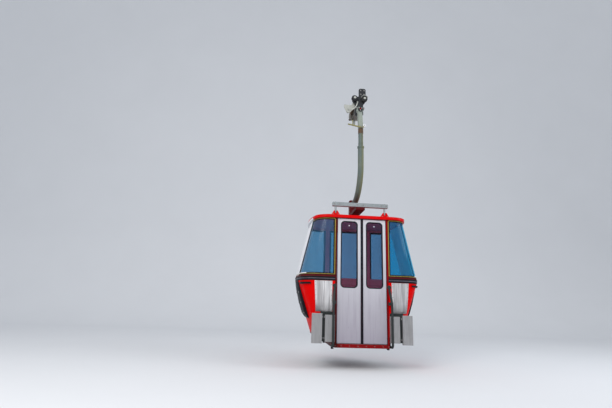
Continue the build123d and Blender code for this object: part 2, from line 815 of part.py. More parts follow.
for name, x in (("left", -roller_x), ("right", roller_x)):
    with BuildPart() as roller:
        with BuildSketch(Plane.XZ.offset(-roller_back)) as roller_section:
            with Locations((x, roller_z)):
                Circle(roller_radius)
                Circle(roller_axle + pin_clearance, mode=Mode.SUBTRACT)
        extrude(roller_section.sketch, amount=roller_width)
    finish(roller, f"grip_roller_{name}")

jaw_half = grip_length / 2
knuckle_half = jaw_half - ear_length - joint_gap
with BuildPart() as fixed_jaw:
    with BuildSketch(Plane.YZ.offset(-jaw_half)) as jaw_side:
        with BuildLine():
            Polyline(*fixed_jaw_rows, close=True)
        make_face()
    extrude(jaw_side.sketch, amount=grip_length)
    for side in (-1, 1):
        cut_x = sorted((side * waist_half, side * far))
        block(cut_x, (-far, waist_y), (0, 2 * rope_height), Mode.SUBTRACT)
    with BuildSketch(Plane.YZ.offset(-jaw_half)) as ears:
        with Locations((jaw_pin_y, jaw_pin_z), fixed_ear):
            Circle(knuckle_radius)
        make_hull()
    extrude(ears.sketch, amount=ear_length)
    extrude(ears.sketch.moved(Location((grip_length - ear_length, 0, 0))), amount=ear_length)
    with BuildSketch(Plane.YZ.offset(-jaw_half)) as channels:
        Circle(rope_radius)
        with Locations((jaw_pin_y, jaw_pin_z)):
            Circle(jaw_pin_radius)
    extrude(channels.sketch, amount=grip_length, mode=Mode.SUBTRACT)
finish(fixed_jaw, "grip_fixed_jaw")

with BuildPart() as jaw:
    with BuildSketch(Plane.YZ.offset(-jaw_half)) as jaw_plate:
        with BuildLine():
            Polyline(*jaw_rows, close=True)
        make_face()
    extrude(jaw_plate.sketch, amount=grip_length)
    with BuildSketch(Plane.YZ.offset(-knuckle_half)) as knuckle:
        with Locations((jaw_pin_y, jaw_pin_z)):
            Circle(knuckle_radius)
        with Locations(jaw_boss):
            Circle(jaw_boss_radius)
        make_hull()
    extrude(knuckle.sketch, amount=2 * knuckle_half)
    with BuildSketch(Plane.YZ.offset(-tail_half)) as tail:
        with Locations((jaw_pin_y, jaw_pin_z), (jaw_pin_y, tail_end)):
            Circle(knuckle_radius)
        make_hull()
    extrude(tail.sketch, amount=2 * tail_half)
    with BuildSketch(Plane.YZ.offset(-jaw_half)) as jaw_holes:
        Circle(rope_radius)
        with Locations((jaw_pin_y, jaw_pin_z)):
            Circle(jaw_pin_radius + pin_clearance)
        with Locations((jaw_pin_y, tail_end)):
            Circle(jaw_pin_radius)
    extrude(jaw_holes.sketch, amount=grip_length, mode=Mode.SUBTRACT)
finish(jaw, "grip_jaw")

with BuildPart() as jaw_pin:
    with BuildSketch(Plane.YZ.offset(-jaw_half - pin_proud)) as pin_section:
        with Locations((jaw_pin_y, jaw_pin_z)):
            Circle(jaw_pin_radius)
    extrude(pin_section.sketch, amount=grip_length + 2 * pin_proud)
finish(jaw_pin, "grip_jaw_pin")
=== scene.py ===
import math

import bmesh
import bpy
import numpy as np
from mathutils import Matrix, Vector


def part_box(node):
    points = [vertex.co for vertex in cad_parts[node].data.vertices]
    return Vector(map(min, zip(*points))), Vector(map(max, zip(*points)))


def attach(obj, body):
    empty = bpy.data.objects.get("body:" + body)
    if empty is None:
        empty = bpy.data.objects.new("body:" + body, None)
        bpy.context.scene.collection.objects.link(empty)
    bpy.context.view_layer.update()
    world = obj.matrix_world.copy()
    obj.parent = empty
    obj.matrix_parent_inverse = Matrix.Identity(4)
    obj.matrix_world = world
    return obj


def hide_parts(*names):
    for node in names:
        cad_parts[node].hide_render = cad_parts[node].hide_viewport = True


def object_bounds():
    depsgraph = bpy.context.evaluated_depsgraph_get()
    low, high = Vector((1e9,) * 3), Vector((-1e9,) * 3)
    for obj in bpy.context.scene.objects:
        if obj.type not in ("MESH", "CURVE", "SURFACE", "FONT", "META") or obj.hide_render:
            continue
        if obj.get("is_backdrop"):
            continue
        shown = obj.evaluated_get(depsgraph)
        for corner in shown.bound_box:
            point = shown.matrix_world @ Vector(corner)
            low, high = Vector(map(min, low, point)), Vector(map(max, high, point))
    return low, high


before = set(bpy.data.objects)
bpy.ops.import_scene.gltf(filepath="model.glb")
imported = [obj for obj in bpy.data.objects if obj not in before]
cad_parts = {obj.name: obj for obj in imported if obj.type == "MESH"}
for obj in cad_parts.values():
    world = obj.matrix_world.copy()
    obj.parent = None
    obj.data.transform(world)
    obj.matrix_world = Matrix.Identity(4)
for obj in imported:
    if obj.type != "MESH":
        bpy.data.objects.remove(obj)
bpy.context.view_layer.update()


# The studio: pale paper that lies under the hanging cabin and turns up into a backdrop, with soft light
# from all round and two large lamps. The camera stands at floor level before the doors, a little to the
# left of them, and looks up.
def welded(mesh):
    """The mesh with coinciding points merged, empty faces dropped and the rest turned outwards."""
    shell = bmesh.new()
    shell.from_mesh(mesh)
    bmesh.ops.remove_doubles(shell, verts=shell.verts, dist=2e-5)
    bmesh.ops.dissolve_degenerate(shell, edges=shell.edges, dist=1e-6)
    bmesh.ops.recalc_face_normals(shell, faces=shell.faces)
    shell.to_mesh(mesh)
    shell.free()
    return mesh


def mesh_of(name, grids):
    """A mesh from grids of points shaped (rows, columns, 3), or (copies, rows, columns, 3), with a four-cornered
    face between neighbours and the points that coincide welded."""
    points, faces, count = [], [], 0
    for grid in grids:
        grid = np.reshape(grid, (-1, *np.shape(grid)[-3:]))
        at = count + np.arange(grid[..., 0].size).reshape(grid.shape[:3])
        faces.append(np.stack([at[:, :-1, :-1], at[:, :-1, 1:], at[:, 1:, 1:], at[:, 1:, :-1]], -1).reshape(-1, 4))
        points.append(grid.reshape(-1, 3))
        count += len(points[-1])
    mesh = bpy.data.meshes.new(name)
    mesh.from_pydata(np.concatenate(points).tolist(), [], np.concatenate(faces).tolist())
    welded(mesh).validate()
    return mesh


def shown(name, data):
    """An object at the origin that shows the mesh, or holds the lamp or the lens."""
    thing = bpy.data.objects.new(name, data)
    bpy.context.scene.collection.objects.link(thing)
    return thing


def is_socket(value):
    """Whether the value is fed by a node, and not a number or a colour."""
    return isinstance(value, bpy.types.NodeSocket)


def smoothed(mesh, smooth=True):
    """Shades the mesh's faces smooth, or flat."""
    mesh.polygons.foreach_set("use_smooth", np.full(len(mesh.polygons), smooth))


def node(kind, inputs, **settings):
    """Adds a shader node beside those that feed it: settings are its own fields, inputs its sockets' values or
    what feeds them."""
    tree = next(value.id_data for value in inputs.values() if is_socket(value))
    added = tree.nodes.new("ShaderNode" + kind)
    for key, value in settings.items():
        setattr(added, key, value)
    for key, value in inputs.items():
        if is_socket(value):
            tree.links.new(value, added.inputs[key])
        else:
            added.inputs[key].default_value = value
    return added.outputs[0]


def plain_finish(name, colour, roughness, metallic=0.0, **sockets):
    """A finish with its constant sockets set on the shader: gives the finish, the shader and the coordinates."""
    finish = bpy.data.materials.new(name)
    finish.use_nodes = True
    tree = finish.node_tree
    shader = tree.nodes["Principled BSDF"]
    constants = {"Base Color": (*colour, 1), "Roughness": roughness, "Metallic": metallic}
    constants |= {key.replace("_", " ").title().replace("Ior", "IOR"): value for key, value in sockets.items()}
    for key, value in constants.items():
        shader.inputs[key].default_value = value
    return finish, shader, tree.nodes.new("ShaderNodeTexCoord").outputs["Object"]


def cloud(place, scale, detail=3.0, rough=0.55):
    """Smooth noise between 0 and 1 with so many patches to the metre."""
    return node("TexNoise", {"Vector": place, "Scale": scale, "Detail": detail, "Roughness": rough})


def drawn_out(place, scales, detail=3.0, rough=0.55, shift=(0, 0, 0)):
    """Noise with so many patches to the metre along each axis, so drawn out along the axis with the fewest."""
    place = node("Mapping", {"Vector": place, "Scale": scales, "Location": shift})
    return cloud(place, 1.0, detail, rough)


def axis_of(place, axis):
    """One coordinate, "X", "Y" or "Z", of a place."""
    return node("SeparateXYZ", {0: place}).node.outputs[axis]


def between(value, low, high, to_low=0.0, to_high=1.0):
    """The value taken from low..high to to_low..to_high, and held at the ends."""
    ends = {"From Min": low, "From Max": high, "To Min": to_low, "To Max": to_high}
    return node("MapRange", {"Value": value, **ends})


def mixed(share, first, second):
    """Colour that goes from the first to the second as share goes from 0 to 1. A colour is a triple or a socket."""
    first, second = (tone if is_socket(tone) else (*tone, 1) for tone in (first, second))
    return node("Mix", {0: share, 6: first, 7: second}, data_type="RGBA").node.outputs[2]


def math_of(operation, first, second=0.0):
    """Result of one operation on two values."""
    return node("Math", {0: first, 1: second}, operation=operation)


def stained(tone, mask, strength, stain):
    """The tone, turned to the stain where the mask is 1, by so much as the strength."""
    return mixed(math_of("MULTIPLY", mask, strength), tone, stain)


def bumped(shader, heights):
    """Feeds the shader's normal from (height, depth in metres) pairs, one bump on the other."""
    inputs = {"Strength": 1.0}
    for height, depth in heights:
        inputs |= {"Height": height, "Distance": depth}
        inputs["Normal"] = node("Bump", inputs)
    feed(shader, normal=inputs["Normal"])


def feed(shader, **sockets):
    """Feeds the sockets of a shader or of the output by name."""
    for key, value in sockets.items():
        shader.id_data.links.new(value, shader.inputs[key.replace("_", " ").title()])


def spread(x, y, z):
    """Points from three coordinates, each a number or an array, spread over one another."""
    return np.stack(np.broadcast_arrays(x, y, z), -1)


def unit(vectors):
    """The vectors brought to length 1."""
    vectors = np.asarray(vectors, float)
    return vectors / np.linalg.norm(vectors, axis=-1, keepdims=True)


floor_height, floor_reach = -4.16, 60
bend_start, bend_radius, bend_steps = 7, 4, 14
bend = np.linspace(0.08, math.pi / 2, bend_steps)
across = np.linspace(-floor_reach, floor_reach, 61)
run = [np.linspace(-floor_reach, bend_start, 22), bend_start + bend_radius * np.sin(bend), np.full(8, 11.0)]
rise = [np.zeros(22), bend_radius * (1 - np.cos(bend)), np.linspace(5, 26, 8)]
run, rise = np.concatenate(run)[:, None], np.concatenate(rise)[:, None]
backdrop = spread(across[None, :], run, rise + floor_height)
studio = shown("studio_floor", mesh_of("studio_floor", [backdrop]))
smoothed(studio.data)
studio_finish, shader, place = plain_finish("studio_paper", (0.77, 0.78, 0.8), 0.9)
feed(shader, base_color=mixed(cloud(place, 0.6), (0.75, 0.76, 0.78), (0.79, 0.8, 0.82)))
studio.data.materials.append(studio_finish)
studio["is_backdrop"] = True

world = bpy.data.worlds.new("studio_light")
bpy.context.scene.world = world
world.use_nodes = True
sky = world.node_tree.nodes["Background"]
sky.inputs["Color"].default_value = (0.9, 0.94, 1.0, 1)
sky.inputs["Strength"].default_value = 0.7


def placed(thing, place, side, upright, back):
    """Stands a lamp or the camera at a place, turned by its three directions."""
    turn = np.eye(4)
    turn[:3, 0], turn[:3, 1], turn[:3, 2], turn[:3, 3] = side, upright, back, place
    thing.matrix_world = Matrix(turn)


def soft_lamp(name, place, size, watts, colour, aim=(0, 0, -2.6)):
    """A square lamp at a place, turned to face the aim."""
    lamp = bpy.data.lights.new(name, "AREA")
    lamp.size, lamp.energy, lamp.color = size, watts, colour
    back = unit(np.subtract(place, aim))
    side = unit(np.cross((0, 0, 1), back))
    placed(shown(name, lamp), place, side, np.cross(back, side), back)


soft_lamp("front_lamp", (-4.5, -7.0, 2.2), 4.5, 445, (1.0, 0.98, 0.95))
soft_lamp("side_lamp", (6.5, -3.0, 1.0), 4.0, 190, (0.93, 0.96, 1.0))

camera_place = (-1.337, -6.412, -3.281)
yaw, pitch, roll = math.radians(4.7), math.radians(14.02), math.radians(1.86)
film_width, focal_share = 36.0, 400 / 612
ahead = np.array([math.sin(yaw) * math.cos(pitch), math.cos(yaw) * math.cos(pitch), math.sin(pitch)])
level = np.array([math.cos(yaw), -math.sin(yaw), 0.0])
upright = np.cross(level, ahead)
lens = bpy.data.cameras.new("camera")
lens.sensor_width, lens.lens = film_width, film_width * focal_share
camera = shown("camera", lens)
rolled_side = math.cos(roll) * level + math.sin(roll) * upright
placed(camera, camera_place, rolled_side, math.cos(roll) * upright - math.sin(roll) * level, -ahead)
bpy.context.scene.camera = camera
bpy.context.scene.view_settings.view_transform = "Standard"


# Welded underframe and floor: folded steel members in dark red primer, with road dirt thrown up on them,
# under a steel floor plate. Four round rubber feet are bolted on below, and a ribbed mat lies inside.
# Heights on the cabin are measured from the foot of the doors.
door_foot = -3.8


def sprayed(name, colour, worn, dirt_and_shade, gloss=0.34, coat=0.07, darkened_height=0.45, shine=0.03, film=0.1):
    """Sprayed paint: base colour with faded patches, a film of a darker tone that thickens to the foot, streaks that
    run down, spots and chips of that tone, and a fine orange-peel skin under a thin clear coat. The darker tone is
    dirt; on the doors, where it is heavy, it is painted shade."""
    finish, shader, place = plain_finish(
        name, colour, gloss, coat_weight=coat, coat_roughness=0.14, specular_ior_level=shine
    )
    patches = between(cloud(place, 3.1, 4), 0.42, 0.72)
    streaks = between(drawn_out(place, (34, 34, 1.6), 4), 0.52, 0.8)
    low = between(axis_of(place, "Z"), door_foot + darkened_height, door_foot - 0.02)
    spots = between(cloud(place, 60, 5, 0.7), 0.62, 0.72)
    chips = between(cloud(place, 23, 6, 0.75), 0.66, 0.68)
    tone = stained(stained(colour, patches, 0.5, worn), low, film, dirt_and_shade)
    for mask, high_share, low_share in ((streaks, 0.14, 0.5), (spots, 0.03, 0.6), (chips, 0.25, 0.8)):
        tone = stained(tone, mask, between(low, 0, 1, high_share, low_share), dirt_and_shade)
    feed(shader, base_color=tone, roughness=between(streaks, 0, 1, gloss, gloss + 0.25))
    bumped(shader, [(cloud(place, 380, 2), 0.00008), (cloud(place, 9, 2), 0.001), (chips, -0.0002)])
    return finish


def rubber_finish(name, colour, dusty):
    """Weathered rubber: dark, with pale dust in clouds and a fine grain."""
    finish, shader, place = plain_finish(name, colour, 0.6, specular_ior_level=0.1)
    dust = between(cloud(place, 6, 5), 0.48, 0.82)
    scuffs = between(drawn_out(place, (120, 120, 14)), 0.62, 0.8)
    tone = stained(stained(colour, dust, 0.7, dusty), scuffs, 0.35, dusty)
    feed(shader, base_color=tone, roughness=between(dust, 0, 1, 0.48, 0.75))
    bumped(shader, [(cloud(place, 300, 3), 0.0001), (scuffs, 0.00015)])
    return finish


def metal(name, colour, roughness, grain, metallic=0.85, spangle=0.0, dent=0.0009):
    """Bare metal: brushed along the axis with the smallest grain, dull in clouded patches, with stains and, on
    zinc, crystals of differing tone."""
    finish, shader, place = plain_finish(name, colour, roughness, metallic)
    lines = drawn_out(place, grain)
    dull = between(cloud(place, 4.5, 4), 0.4, 0.7)
    stains = between(drawn_out(place, (26, 26, 4), 5, 0.65), 0.6, 0.78)
    light, deep, crystal, dim, stain = (np.minimum(np.multiply(k, colour), 1) for k in (1.12, 0.86, 0.6, 0.72, 0.45))
    tone = mixed(between(lines, 0.35, 0.65), deep, light)
    if spangle:
        crystals = node("TexVoronoi", {"Vector": place, "Scale": spangle}).node.outputs["Color"]
        tone = mixed(between(node("RGBToBW", {0: crystals}), 0.2, 0.8, 0, 0.35), tone, crystal)
    tone = stained(stained(tone, dull, 0.5, dim), stains, 0.4, stain)
    feed(shader, base_color=tone, roughness=between(dull, 0, 1, roughness - 0.06, roughness + 0.14))
    bumped(shader, [(lines, 0.00012), (cloud(place, 11, 2), dent)])
    return finish


def clouded(shader, worn, fresh, used, smooth, dull):
    """Feeds a colour from fresh to used and a roughness from smooth to dull as the wear goes from 0 to 1."""
    feed(shader, base_color=mixed(worn, fresh, used), roughness=between(worn, 0, 1, smooth, dull))


def dress(name, finish, soften=0.0018, steps=2):
    """Gives a node of the model its finish and rounds its sharp edges by so many metres."""
    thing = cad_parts[name]
    mesh = thing.data
    if "custom_normal" in mesh.attributes:
        mesh.attributes.remove(mesh.attributes["custom_normal"])
    mesh.materials.clear()
    mesh.materials.append(finish)
    smoothed(mesh)
    thing.modifiers.new("merged_corners", "WELD").merge_threshold = 2e-5
    if soften:
        rounding = thing.modifiers.new("soft_edges", "BEVEL")
        rounding.width, rounding.segments = soften, steps
        rounding.limit_method, rounding.angle_limit = "ANGLE", math.radians(33)
        rounding.use_clamp_overlap = False
    evened = thing.modifiers.new("even_shading", "WEIGHTED_NORMAL")
    evened.keep_sharp, evened.weight = True, 100


def fitted(name, grids, finish, body="cabin", rounded=True):
    """A new piece of trim from its grids of points, with its finish and the body it rides on."""
    thing = shown(name, mesh_of(name, grids))
    smoothed(thing.data, rounded)
    thing.data.materials.append(finish)
    if rounded:
        thing.data.set_sharp_from_angle(angle=math.radians(38))
    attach(thing, body)


def closed_sheet(face, back):
    """A thin sheet: its two grids and the band that joins their edges."""
    edges = [np.concatenate([grid[0], grid[1:, -1], grid[-1, -2::-1], grid[-2::-1, 0]]) for grid in (face, back)]
    return [face, back, np.stack(edges)]


def turned(profile, places, axes, sides=14):
    """Turned parts: each row (radius, height) of the profile, in millimetres, is a ring round an axis at each place."""
    profile, places = np.asarray(profile, float) / 1000, np.asarray(places, float)
    axes = unit(np.broadcast_to(axes, places.shape))
    first = unit(np.cross(np.where(np.abs(axes[:, 2:]) > 0.9, (1.0, 0, 0), (0, 0, 1.0)), axes))
    angle = np.linspace(0, math.tau, sides + 1)[:, None]
    ring = np.cos(angle) * first[:, None] + np.sin(angle) * np.cross(axes, first)[:, None]
    radius, height = profile[None, :, 0, None, None], profile[None, :, 1, None, None]
    return places[:, None, None] + radius * ring[:, None] + height * axes[:, None, None]


def bolts(radius, height, places, axes, washer=1.5):
    """Hexagon bolt heads, sized in millimetres: a flat washer, a drum with a bevelled rim and a flat top."""
    foot = [(0, -1), (washer * radius, -1), (washer * radius, 0.18 * height), (radius, 0.2 * height)]
    return turned([*foot, (radius, 0.86 * height), (0.86 * radius, height), (0, height)], places, axes, 6)


def rivets(radius, height, places, out, sides=10):
    """Round rivet heads, sized in millimetres: a quarter circle squashed to the height and turned."""
    angle = np.linspace(0, math.pi / 2, 5)
    dome = np.stack([radius * np.cos(angle), height * np.sin(angle)], -1)
    return turned([(0, -0.8), (radius, -0.8), *dome], places, out, sides)


dark_red = sprayed("dark_red_primer", (0.085, 0.006, 0.008), (0.12, 0.02, 0.02), (0.05, 0.03, 0.025), 0.55, 0.1)
rubber = rubber_finish("moulded_rubber", (0.0075, 0.008, 0.0115), (0.022, 0.023, 0.027))
zinc = metal("galvanised_steel", (0.33, 0.37, 0.38), 0.5, (60, 60, 60), 0.5, spangle=55)
bolt_steel = metal("bolt_steel", (0.3, 0.29, 0.28), 0.45, (90, 90, 90), 0.8)
upward, forward = (0, 0, 1), (0, -1, 0)
for name in ("underframe", "floor_plate", "door_sill"):
    dress(name, dark_red)
dress("station_feet", rubber)
post_x, post_y, foot_x = 0.385, 0.45, 0.408
foot_places = [(x, y, door_foot - 0.088) for x in (-foot_x, foot_x) for y in (-post_y, post_y)]
foot_rib = [(0, -0.2), (12, -0.2), (14, 1.2), (21.2, 3), (21.2, 7.5), (19.5, 9), (0, 9)]
fitted("foot_ribs", turned(foot_rib, foot_places, upward, 24), rubber)
mat_colour, mat_half_pitch, mat_thick = (0.03, 0.03, 0.033), 0.006, 0.0014
mat_finish, shader, place = plain_finish("ribbed_floor_mat", mat_colour, 0.7)
ribs = math_of("PINGPONG", axis_of(place, "X"), mat_half_pitch)
clouded(shader, between(cloud(place, 8, 5), 0.45, 0.75), mat_colour, (0.1, 0.09, 0.08), 0.6, 0.9)
bumped(shader, [(between(ribs, 0.001, 0.005), 0.0015)])
mat_x, mat_y = np.linspace(-0.372, 0.372, 3), np.linspace(-0.51, 0.535, 3)
mat_top = spread(mat_x[None, :], mat_y[:, None], door_foot + 0.1016)
fitted("floor_mat", closed_sheet(mat_top, mat_top - (0, 0, mat_thick)), mat_finish, rounded=False)


# Lower body: sheet steel panels pressed to shape, butted edge to edge at the corners and riveted to the
# frame at foot and belt. The red is sprayed on under a thin clear coat, faded in patches, with dirt run down
# from the belt and chips near the foot. Two bare aluminium rub strips and a plain plate sit at the back.
body_rows = np.array([  # height above the door foot, half length, half depth, corner radius, radius of the bowed end
    (0.1, 0.675, 0.572, 0.24, 1.8),
    (0.86, 0.929, 0.576, 0.25, 1.7),
    (0.918, 0.934, 0.576, 0.25, 1.7),
    (1.797, 0.729, 0.574, 0.19, 1.7),
    (1.839, 0.729, 0.574, 0.19, 1.7),
])
jamb_edge, pillar_edges = 0.396, (0.326, 0.394)
both_sides = (-1, 1)
quarters = [(x_side, y_side) for x_side in both_sides for y_side in both_sides]


def wall_sizes(height):
    """Half length, half depth, corner radius, bow radius, lean of the bow's end and x of the corner at a height."""
    a, b, r, bow = (np.interp(height, body_rows[:, 0], body_rows[:, k]) for k in (1, 2, 3, 4))
    lean = np.arcsin((b - r) / (bow - r))
    return a, b, r, bow, lean, a - bow + (bow - r) * np.cos(lean)


def on_wall(run, height, proud=0.0, x_side=1, y_side=-1):
    """Points on the body and their outward directions. The run goes from the middle of a long side, straight, then
    round the corner's arc, then along the end's wide arc; a point is where it ends, moved out by proud."""
    run, height, proud = np.broadcast_arrays(np.asarray(run, float), height, proud)
    a, b, r, bow, lean, corner_x = wall_sizes(height)
    corner = np.clip((run - corner_x) / r, 0, math.pi / 2 - lean)
    turn = corner + np.maximum(run - corner_x - r * (math.pi / 2 - lean), 0) / bow
    x = np.minimum(run, corner_x) + r * np.sin(corner) + bow * (np.sin(turn) - np.sin(corner))
    y = r - b - r * np.cos(corner) - bow * (np.cos(turn) - np.cos(corner))
    out = spread(x_side * np.sin(turn), y_side * np.cos(turn), 0)
    return spread(x_side * x, -y_side * y, door_foot + height) + proud[..., None] * out, out


def run_to_end(height, y):
    """The run at which the end's wide arc is this far from its middle."""
    a, b, r, bow, lean, corner_x = wall_sizes(height)
    return corner_x + r * (math.pi / 2 - lean) + bow * (lean - np.arcsin(y / bow))


def wall_sheet(runs, heights, faces, x_side, y_side):
    """A thin sheet that follows the body, over runs by heights, between two distances out from the body's face."""
    heights = np.asarray(heights, float)[:, None]
    return closed_sheet(*(on_wall(runs, heights, proud, x_side, y_side)[0] for proud in faces))


def wall_rivets(radius, height, runs, heights, proud, x_side, y_side):
    """Rivets on the body at runs and heights."""
    return rivets(radius, height, *on_wall(runs, heights, proud, x_side, y_side))


red = sprayed(
    "red_sprayed_steel", (0.73, 0.0002, 0.0002), (0.62, 0.004, 0.004), (0.1, 0.012, 0.01), 0.34, 0.03, shine=0.015
)
aluminium = metal("bare_aluminium_sheet", (0.52, 0.52, 0.54), 0.4, (260, 260, 5), dent=0.0022)
white = sprayed("white_sprayed_sheet", (0.76, 0.77, 0.8), (0.66, 0.66, 0.7), (0.42, 0.41, 0.4), 0.34, 0.3)
for name in ("rear", "rear_left", "rear_right", "front_left", "front_right"):
    dress(f"lower_panel_{name}", red)
for name in ("rear_rub_strips", "scuff_plates"):
    dress(name, aluminium, 0.001)
dress("rear_disc", white, 0.0008)
rivet_pitch, plate_runs = 0.088, (0.43, 0.72)
panel_rivets, strip_screws = [], []
for height, last in ((0.118, 0.92), (0.842, 1.2)):
    for y_side, first in ((-1, jamb_edge + 0.03), (1, 0.06)):
        runs = np.arange(first, last, rivet_pitch)
        covered = (y_side < 0) & (height > 0.4) & (runs > plate_runs[0]) & (runs < plate_runs[1])
        panel_rivets += [wall_rivets(6.5, 2.8, runs[~covered], height, 0, side, y_side) for side in both_sides]
for side in both_sides:
    for run in (0.336, 0.384):
        panel_rivets.append(wall_rivets(6, 2.6, run, np.arange(0.16, 0.84, 0.085), 0, side, 1))
    strip_screws.append(wall_rivets(5.5, 2.2, 0.36, np.arange(0.155, 0.83, 0.11), 0.012, side, 1))
fitted("panel_rivets", panel_rivets, red)
fitted("rub_strip_screws", strip_screws, bolt_steel)
angle, disc_radius, disc_middle = np.linspace(0, math.tau, 9)[:-1] + 0.39, 0.146, 0.505
disc_x, disc_height = disc_radius * np.cos(angle), disc_middle + disc_radius * np.sin(angle)
disc_rivets = wall_rivets(5, 2, np.abs(disc_x), disc_height, 0.003, np.sign(disc_x), 1)
fitted("disc_rivets", disc_rivets, white)


# Scuff plates: aluminium sheet pressed to a pillow and riveted over the red under each front corner window,
# where skis knock against the cabin. Brushed upright, creased and dented by use. The colour darkens along the creases
# as painted reflection streaks, and towards the foot as painted shade where the sheet turns under.
scuff_finish, shader, place = plain_finish("pressed_aluminium", (0.55, 0.54, 0.56), 0.36, 0.55)
lines = drawn_out(place, (210, 40, 4))
creases = between(drawn_out(place, (17, 17, 1.1), 2, shift=(0.3, 0, 0.2)), 0.3, 0.7)
foot_shade = between(axis_of(place, "Z"), door_foot + 0.56, door_foot + 0.42)
tone = mixed(between(lines, 0.3, 0.7), (0.57, 0.56, 0.565), (0.78, 0.77, 0.775))
# painted reflection: grey streaks along the creases of the pillowed sheet
tone = stained(tone, between(creases, 0.7, 0.25), 0.7, (0.25, 0.24, 0.25))
# painted shade: darker towards the foot, where the sheet turns under
tone = stained(tone, foot_shade, 0.75, (0.17, 0.16, 0.16))
feed(shader, base_color=tone, roughness=between(creases, 0, 1, 0.52, 0.32))
bumped(shader, [(creases, 0.011), (lines, 0.0001)])
dress("scuff_plates", scuff_finish, 0.0008)  # on top of the first rounding
pillow_heights, pillow_proud = (0.422, 0.44, 0.5, 0.64, 0.856), (0.003, 0.015, 0.022, 0.016, 0.005)
rivet_heights = np.array([0.5, 0.575, 0.65, 0.725, 0.8, 0.84])
proud = np.interp(rivet_heights, pillow_heights, pillow_proud)
scuff_rivets = [
    wall_rivets(5.5, 2.4, np.interp(rivet_heights, (0.422, 0.856), edge_runs), rivet_heights, proud, side, -1)
    for side in both_sides for edge_runs in ((0.448, 0.452), (0.655, 0.684))
]
fitted("scuff_rivets", scuff_rivets, bolt_steel)


# End bumpers and front corner buffers: moulded black rubber pads that meet the station's guide rails. Each
# is held by a row of recessed bolts, and the pads are greyed where the rails rub.
for name in ("end_bumpers", "corner_buffers"):
    dress(name, rubber, 0.004, 3)
bumper_heights = (0.318, 0.332, 0.365, 0.425, 0.577, 0.735, 0.8, 0.856)
bumper_proud = (0.006, 0.022, 0.038, 0.046, 0.043, 0.029, 0.018, 0.006)
recessed_bolt = [(0, 0), (17, 0), (17, 2), (10, 2.2), (9, 7), (0, 7)]
heights = np.array([0.395, 0.545, 0.695])
runs, proud = run_to_end(heights, 0.2), np.interp(heights, bumper_heights, bumper_proud)
bumper_bolts = [turned(recessed_bolt, *on_wall(runs, heights, proud, *quarter), 12) for quarter in quarters]
fitted("bumper_bolts", bumper_bolts, bolt_steel)


# Belt: a black rubber profile, 58 mm high, clamped round the body under the windows, with a paler PVC bead
# pressed into its middle. A dark red steel rail lies between the belt and the window rubbers.
def carried(path, out, section, closed=False):
    """A section carried along a path. The section's pairs are millimetres across the path and along out; across is
    the path's direction turned by out. The sheet closes on itself round the section and, if asked, along the path."""
    path, section = np.asarray(path, float), np.asarray(section, float) / 1000
    out = np.broadcast_to(out, path.shape)
    ahead = np.roll(path, -1, 0) - np.roll(path, 1, 0) if closed else np.gradient(path, axis=0)
    across = unit(np.cross(unit(ahead), out))
    section = np.concatenate([section, section[:1]])
    grid = path[:, None] + section[None, :, :1] * across[:, None] + section[None, :, 1:] * out[:, None]
    if closed:
        return [np.concatenate([grid, grid[:1]])]
    ends = [np.stack([np.broadcast_to(grid[k].mean(0), grid[k].shape), grid[k]]) for k in (0, -1)]
    return [grid, *ends]


def bead(width, height, sunk=1.5):
    """Section of a bead: half an ellipse on a foot that is sunk into what carries it."""
    angle = np.linspace(0, math.pi, 7)
    return [(width / 2, -sunk), *zip(width / 2 * np.cos(angle), height * np.sin(angle)), (-width / 2, -sunk)]


def flat_bead(half_width, flank, height, chamfer=1, sunk=1):
    """Section of a flat moulding with chamfered edges, sunk into what carries it."""
    half = [(half_width, -sunk), (half_width, flank), (half_width - chamfer, height)]
    return half + [(-across, rise) for across, rise in half[::-1]]


def round_body(height, gap, steps=70):
    """The path round the body at a height from one jamb to the other by way of the back, with its outward directions.
    It keeps a gap from the jambs."""
    first, last = jamb_edge + gap, float(run_to_end(height, 0.0))
    side, back = np.linspace(first, last, steps), np.linspace(last, 0.0, steps)
    legs = ((side, 1, -1), (back[1:], 1, 1), (back[-2::-1], -1, 1), (side[-2::-1], -1, -1))
    parts = [on_wall(runs, height, 0.0, x_side, y_side) for runs, x_side, y_side in legs]
    return np.concatenate([part[0] for part in parts]), np.concatenate([part[1] for part in parts])


def band(height, gap, proud, section):
    """A section carried round the body at a height, this far out from it."""
    path, out = round_body(height, gap)
    return carried(path + proud * out, out, section)


dress("belt", rubber, 0.003, 3)
dress("window_rail", dark_red, 0.0015)
insert, shader, place = plain_finish("belt_insert", (0.06, 0.055, 0.075), 0.5)
worn = between(cloud(place, 14, 4), 0.4, 0.8)
clouded(shader, worn, (0.05, 0.045, 0.065), (0.11, 0.1, 0.13), 0.4, 0.6)
bumped(shader, [(cloud(place, 150, 2), 0.0002)])
belt_proud, belt_gap = 0.005, 0.001
fitted("belt_insert", band(0.889, belt_gap, belt_proud, bead(13, 2.2)), insert)
lips = [grid for height in (0.8655, 0.9125) for grid in band(height, belt_gap, belt_proud, bead(9, 1.8))]
fitted("belt_lips", lips, rubber)


